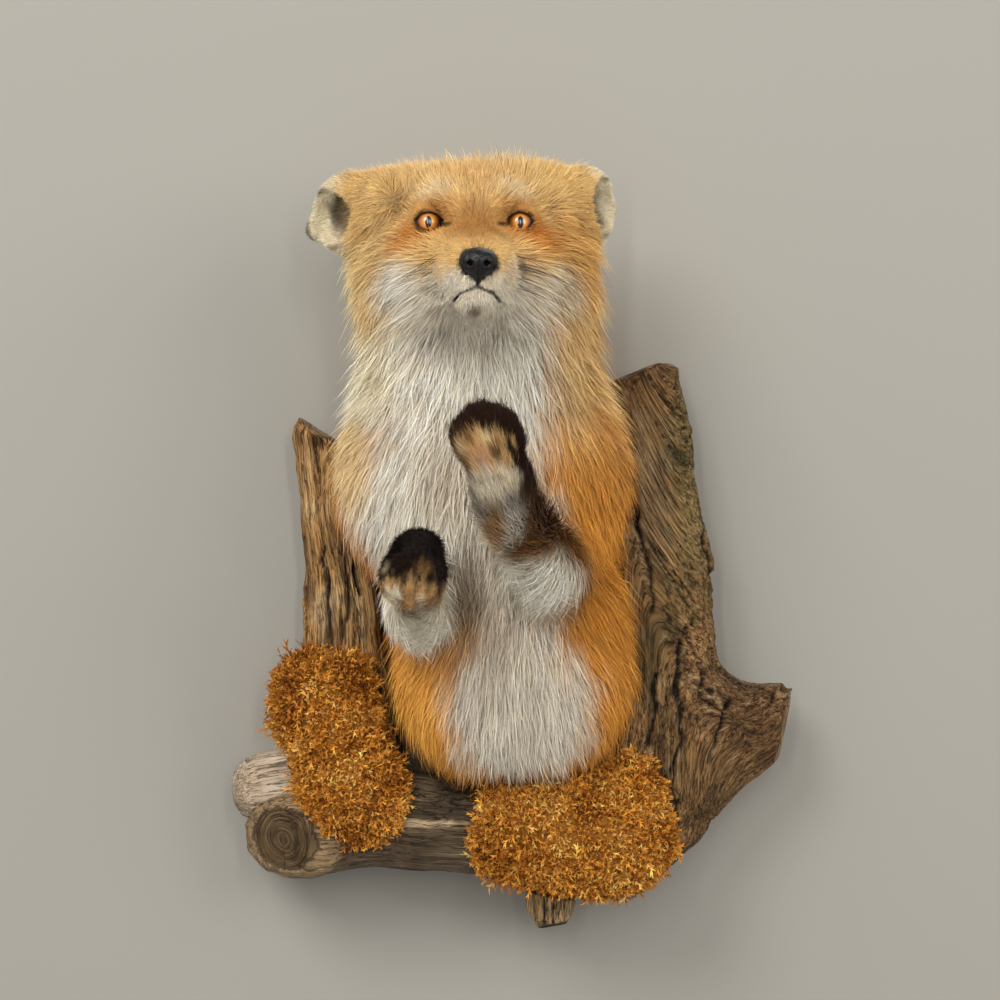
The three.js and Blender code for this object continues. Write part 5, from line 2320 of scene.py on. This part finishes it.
@dataclass
class Moss:
    """A cushion of dried moss: a crumbly bed under thousands of curled sprigs.

    Attributes:
        node: The solid that it stands for.
        seed: Which noise it wears.
        sprigs: How many sprigs it has.
        cell: The size of its bed's faces.
        reach: How long a sprig is.
    """

    node: str
    seed: int
    sprigs: int = 12500
    cell: float = 2.2
    reach: float = 6.2

    def build(self) -> None:
        """Builds the bed and the sprigs."""
        bed = fine_copy(self.node, self.node + "_bed", self.cell)
        points, normals = vertex_points(bed), vertex_normals(bed)
        lumps = Noise(self.seed, (13, 13, 13)).layered(points, 3)
        crumbs = Noise(self.seed + 9, (3.6, 3.6, 3.6)).layered(points, 2)
        points = points + normals * (lumps * 2.6 + crumbs * 1.2 - 3.4)[:, None]
        points[:, 1] = np.minimum(points[:, 1], WALL)
        move_vertices(bed, points)
        # painted shade: the bed under the sprigs is given a low lightness and half the sprigs' brightness
        paint(bed, "Coat", self._tones(points, np.full(len(points), -0.5)) * 0.5)
        smooth(bed)
        material = MossFinish("Dried " + self.node.replace("_", " ")).material()
        finish_piece(bed, material, "moss", [self.node])
        finish_piece(self._sprigs(bed), material, "moss")

    def _tones(self, points: Array, height: Array) -> Array:
        """The moss's colour by clouds and by a lightness value: low on the bed, as painted shade under the sprigs,
        and at random for each sprig.
        """
        clouds = Noise(self.seed + 3, (18, 18, 18)).layered(points, 3)
        value = 0.5 + 0.35 * clouds + 0.25 * height
        rows = blended(plain("96581d", len(points)), linear("dd9436"), smoothstep(0.05, 0.55, value))
        return blended(rows, linear("f6c268"), smoothstep(0.6, 1.2, value))

    def _sprigs(self, bed: bpy.types.Object) -> bpy.types.Object:
        """Builds the sprigs: short curled blades with side leaves, in tangled tufts."""
        rng = np.random.default_rng(self.seed)
        points, normals = vertex_points(bed), vertex_normals(bed)
        outward = np.flatnonzero((points[:, 1] < -6.0) & (normals[:, 1] < 0.55))
        chosen = rng.choice(outward, self.sprigs)
        roots = points[chosen] + rng.normal(0.0, 1.0, (self.sprigs, 3))
        out = unit(normals[chosen] + rng.normal(0.0, 0.55, (self.sprigs, 3)))
        side = unit(np.cross(out, rng.normal(0.0, 1.0, (self.sprigs, 3))))
        length = self.reach * rng.uniform(0.45, 1.15, self.sprigs)
        length *= 1.0 + 0.35 * Noise(self.seed + 5, (8, 8, 8)).at(roots)
        length *= np.where(rng.random(self.sprigs) < 0.07, 1.8, 1.0)
        curl = rng.uniform(-1.6, 2.2, self.sprigs)
        steps = 5
        share = np.linspace(0.0, 1.0, steps)
        angle = curl[:, None] * share[None] ** 1.5
        ways = np.cos(angle)[..., None] * out[:, None] + np.sin(angle)[..., None] * side[:, None]
        path = roots[:, None] + np.cumsum(ways, axis=1) * (length / steps)[:, None, None]
        face = np.cross(out, side)
        width = rng.uniform(0.5, 0.9, self.sprigs)[:, None] * np.array([[0.8, 1.0, 0.95, 0.75, 0.3]])
        half = face[:, None] * width[..., None] * 0.5
        rows = np.stack([path - half, path + half], axis=2).reshape(self.sprigs, -1, 3)
        leaf_out = ways[:, 1:4] * 0.6 + face[:, None] * np.array([1.0, -1.0, 1.0])[None, :, None]
        leaf = path[:, 1:4] + unit(leaf_out) * (length * 0.24)[:, None, None]
        rows = np.concatenate([rows, leaf], axis=1)
        per = rows.shape[1]
        faces = strip_faces(steps)
        for place in range(3):
            low = 2 * (place + 1) + (1 if place % 2 == 0 else 0)
            faces += [low - 2, low, 2 * steps + place] if place % 2 else [low, low - 2, 2 * steps + place]
        corners = (np.arange(self.sprigs)[:, None] * per + np.array(faces)[None]).ravel()
        flat = rows.reshape(-1, 3)
        flat[:, 1] = np.minimum(flat[:, 1], WALL)
        piece = new_object(self.node + "_sprigs", flat, np.full(len(corners) // 3, 3), corners)
        tone = self._tones(roots, rng.normal(0.4, 1.0, self.sprigs))
        tone *= np.exp(rng.normal(0.0, 0.25, self.sprigs))[:, None]
        # painted shade: each sprig is darker at its root, inside the cushion, and lighter at its tip and leaves
        shade = np.concatenate([np.repeat(0.55 + 0.6 * share, 2), np.full(3, 1.1)])
        paint(piece, "Coat", np.clip(tone[:, None] * shade[None, :, None], 0, 0.9).reshape(-1, 3))
        return piece


# ---- The board, the studio and the whole ----------------------------------------------------------------


@dataclass
class Back:
    """The plywood board and the steel hanger plate, kept as they are."""

    def build(self) -> None:
        """Dresses the board and the plate."""
        for node, material, slot in (
            ("backboard", PlywoodFinish().material(), "plywood"),
            ("hanger_plate", SteelFinish().material(), "steel"),
        ):
            piece = frame["nodes"][node]
            piece.data.materials.clear()
            piece.data.materials.append(material)
            LOG.info("%s: dressed", node)


@dataclass
class Studio:
    """A pale wall and floor, soft lights and the camera.

    Attributes:
        wall_size: The size of the wall and of the floor, in metres.
        floor_height: Where the floor is, in metres.
        wall_tone: The colour of both.
        key: The power of the main light.
        fill: The power of the lights that lighten its shadows.
    """

    wall_size: float = 6.0
    floor_height: float = -1.2
    wall_tone: str = "9f9b92"
    key: float = 39.0
    fill: float = 21.0

    def build(self) -> None:
        """Sets the stage."""
        self._sheet("wall", (0.0, 0.0015, 0.8), (math.radians(90), 0, 0))
        self._sheet("floor", (0.0, -2.0, self.floor_height), (0, 0, 0))
        self._light("key", (-1.1, -1.9, 1.5), 1.3, self.key)
        self._light("fill", (1.5, -1.7, 0.7), 1.4, self.fill * 0.8)
        for side in (-1, 1):
            self._light("strip", (side * 0.40, -2.5, 0.6), 0.14, self.fill * 0.5, 1.3)
        self._light("behind", (0.6, 1.6, 1.3), 1.6, self.fill)
        world = bpy.data.worlds.new("Pale room")
        world.use_nodes = True
        sky = world.node_tree.nodes["Background"]
        sky.inputs["Color"].default_value = (0.80, 0.79, 0.77, 1.0)
        sky.inputs["Strength"].default_value = 0.55
        bpy.context.scene.world = world
        bpy.context.scene.view_settings.view_transform = "Standard"
        bpy.ops.object.camera_add(
            location=(0.0, -CAMERA_DISTANCE * MM, CAMERA_HEIGHT * MM), rotation=(math.radians(90), 0, 0)
        )
        camera = bpy.context.active_object
        camera.data.lens = CAMERA_LENS
        camera.data.sensor_width = SENSOR
        bpy.context.scene.camera = camera

    def _sheet(self, name: str, place: Triple, turn: Triple) -> None:
        """Adds a large plane that only the camera sees, and only from its front."""
        bpy.ops.mesh.primitive_plane_add(size=self.wall_size, location=place, rotation=turn)
        sheet = bpy.context.active_object
        sheet.name = "studio_" + name
        shader = Shader("Studio " + name)
        matte = shader.principled(Base_Color=self.wall_tone, Roughness=0.9, Specular_IOR_Level=0.1)
        clear = shader.node("ShaderNodeBsdfTransparent", {}, {})
        back = shader.node("ShaderNodeNewGeometry", {}, {}, "Backfacing")
        sides = shader.node("ShaderNodeMixShader", {}, {0: back, 1: matte, 2: clear})
        sheet.data.materials.append(shader.closed(sides))
        for ray in ("shadow", "diffuse", "glossy", "transmission"):
            setattr(sheet, "visible_" + ray, False)
        sheet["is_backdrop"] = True

    def _light(self, name: str, place: Triple, size: float, power: float, height: float = 0.0) -> None:
        """Adds a soft light aimed at the mount: round, or an upright strip when it is given a height."""
        bpy.ops.object.light_add(type="AREA", location=place)
        light = bpy.context.active_object
        light.name = "light_" + name
        light.data.shape = "RECTANGLE" if height else "DISK"
        light.data.size = size
        if height:
            light.data.size_y = height
        light.data.energy = power
        light.rotation_euler = (Vector((0, 0, 0.03)) - Vector(place)).to_track_quat("-Z", "Y").to_euler()


def main() -> None:
    """Builds the mount, piece by piece."""
    logging.basicConfig(level=logging.INFO, format="%(name)s: %(message)s")
    cad_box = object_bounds()
    fox = Fox()
    fox.settle_mouth()
    pelage = Pelage(fox)
    skin = Skin(fox, pelage)
    skin.build()
    Coat(fox, pelage, skin).build()
    Eyes(fox).build()
    Nose().build()
    Claws().build()
    Whiskers(fox).build()
    for wood in WOOD:
        wood.build()
    for node, seed in (("moss_left", 71), ("moss_right", 83)):
        Moss(node, seed).build()
    Back().build()
    Studio().build()
    boxes = {name: [list(corner) for corner in box] for name, box in (("cad", cad_box), ("visual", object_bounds()))}


if __name__ == "__main__":
    main()
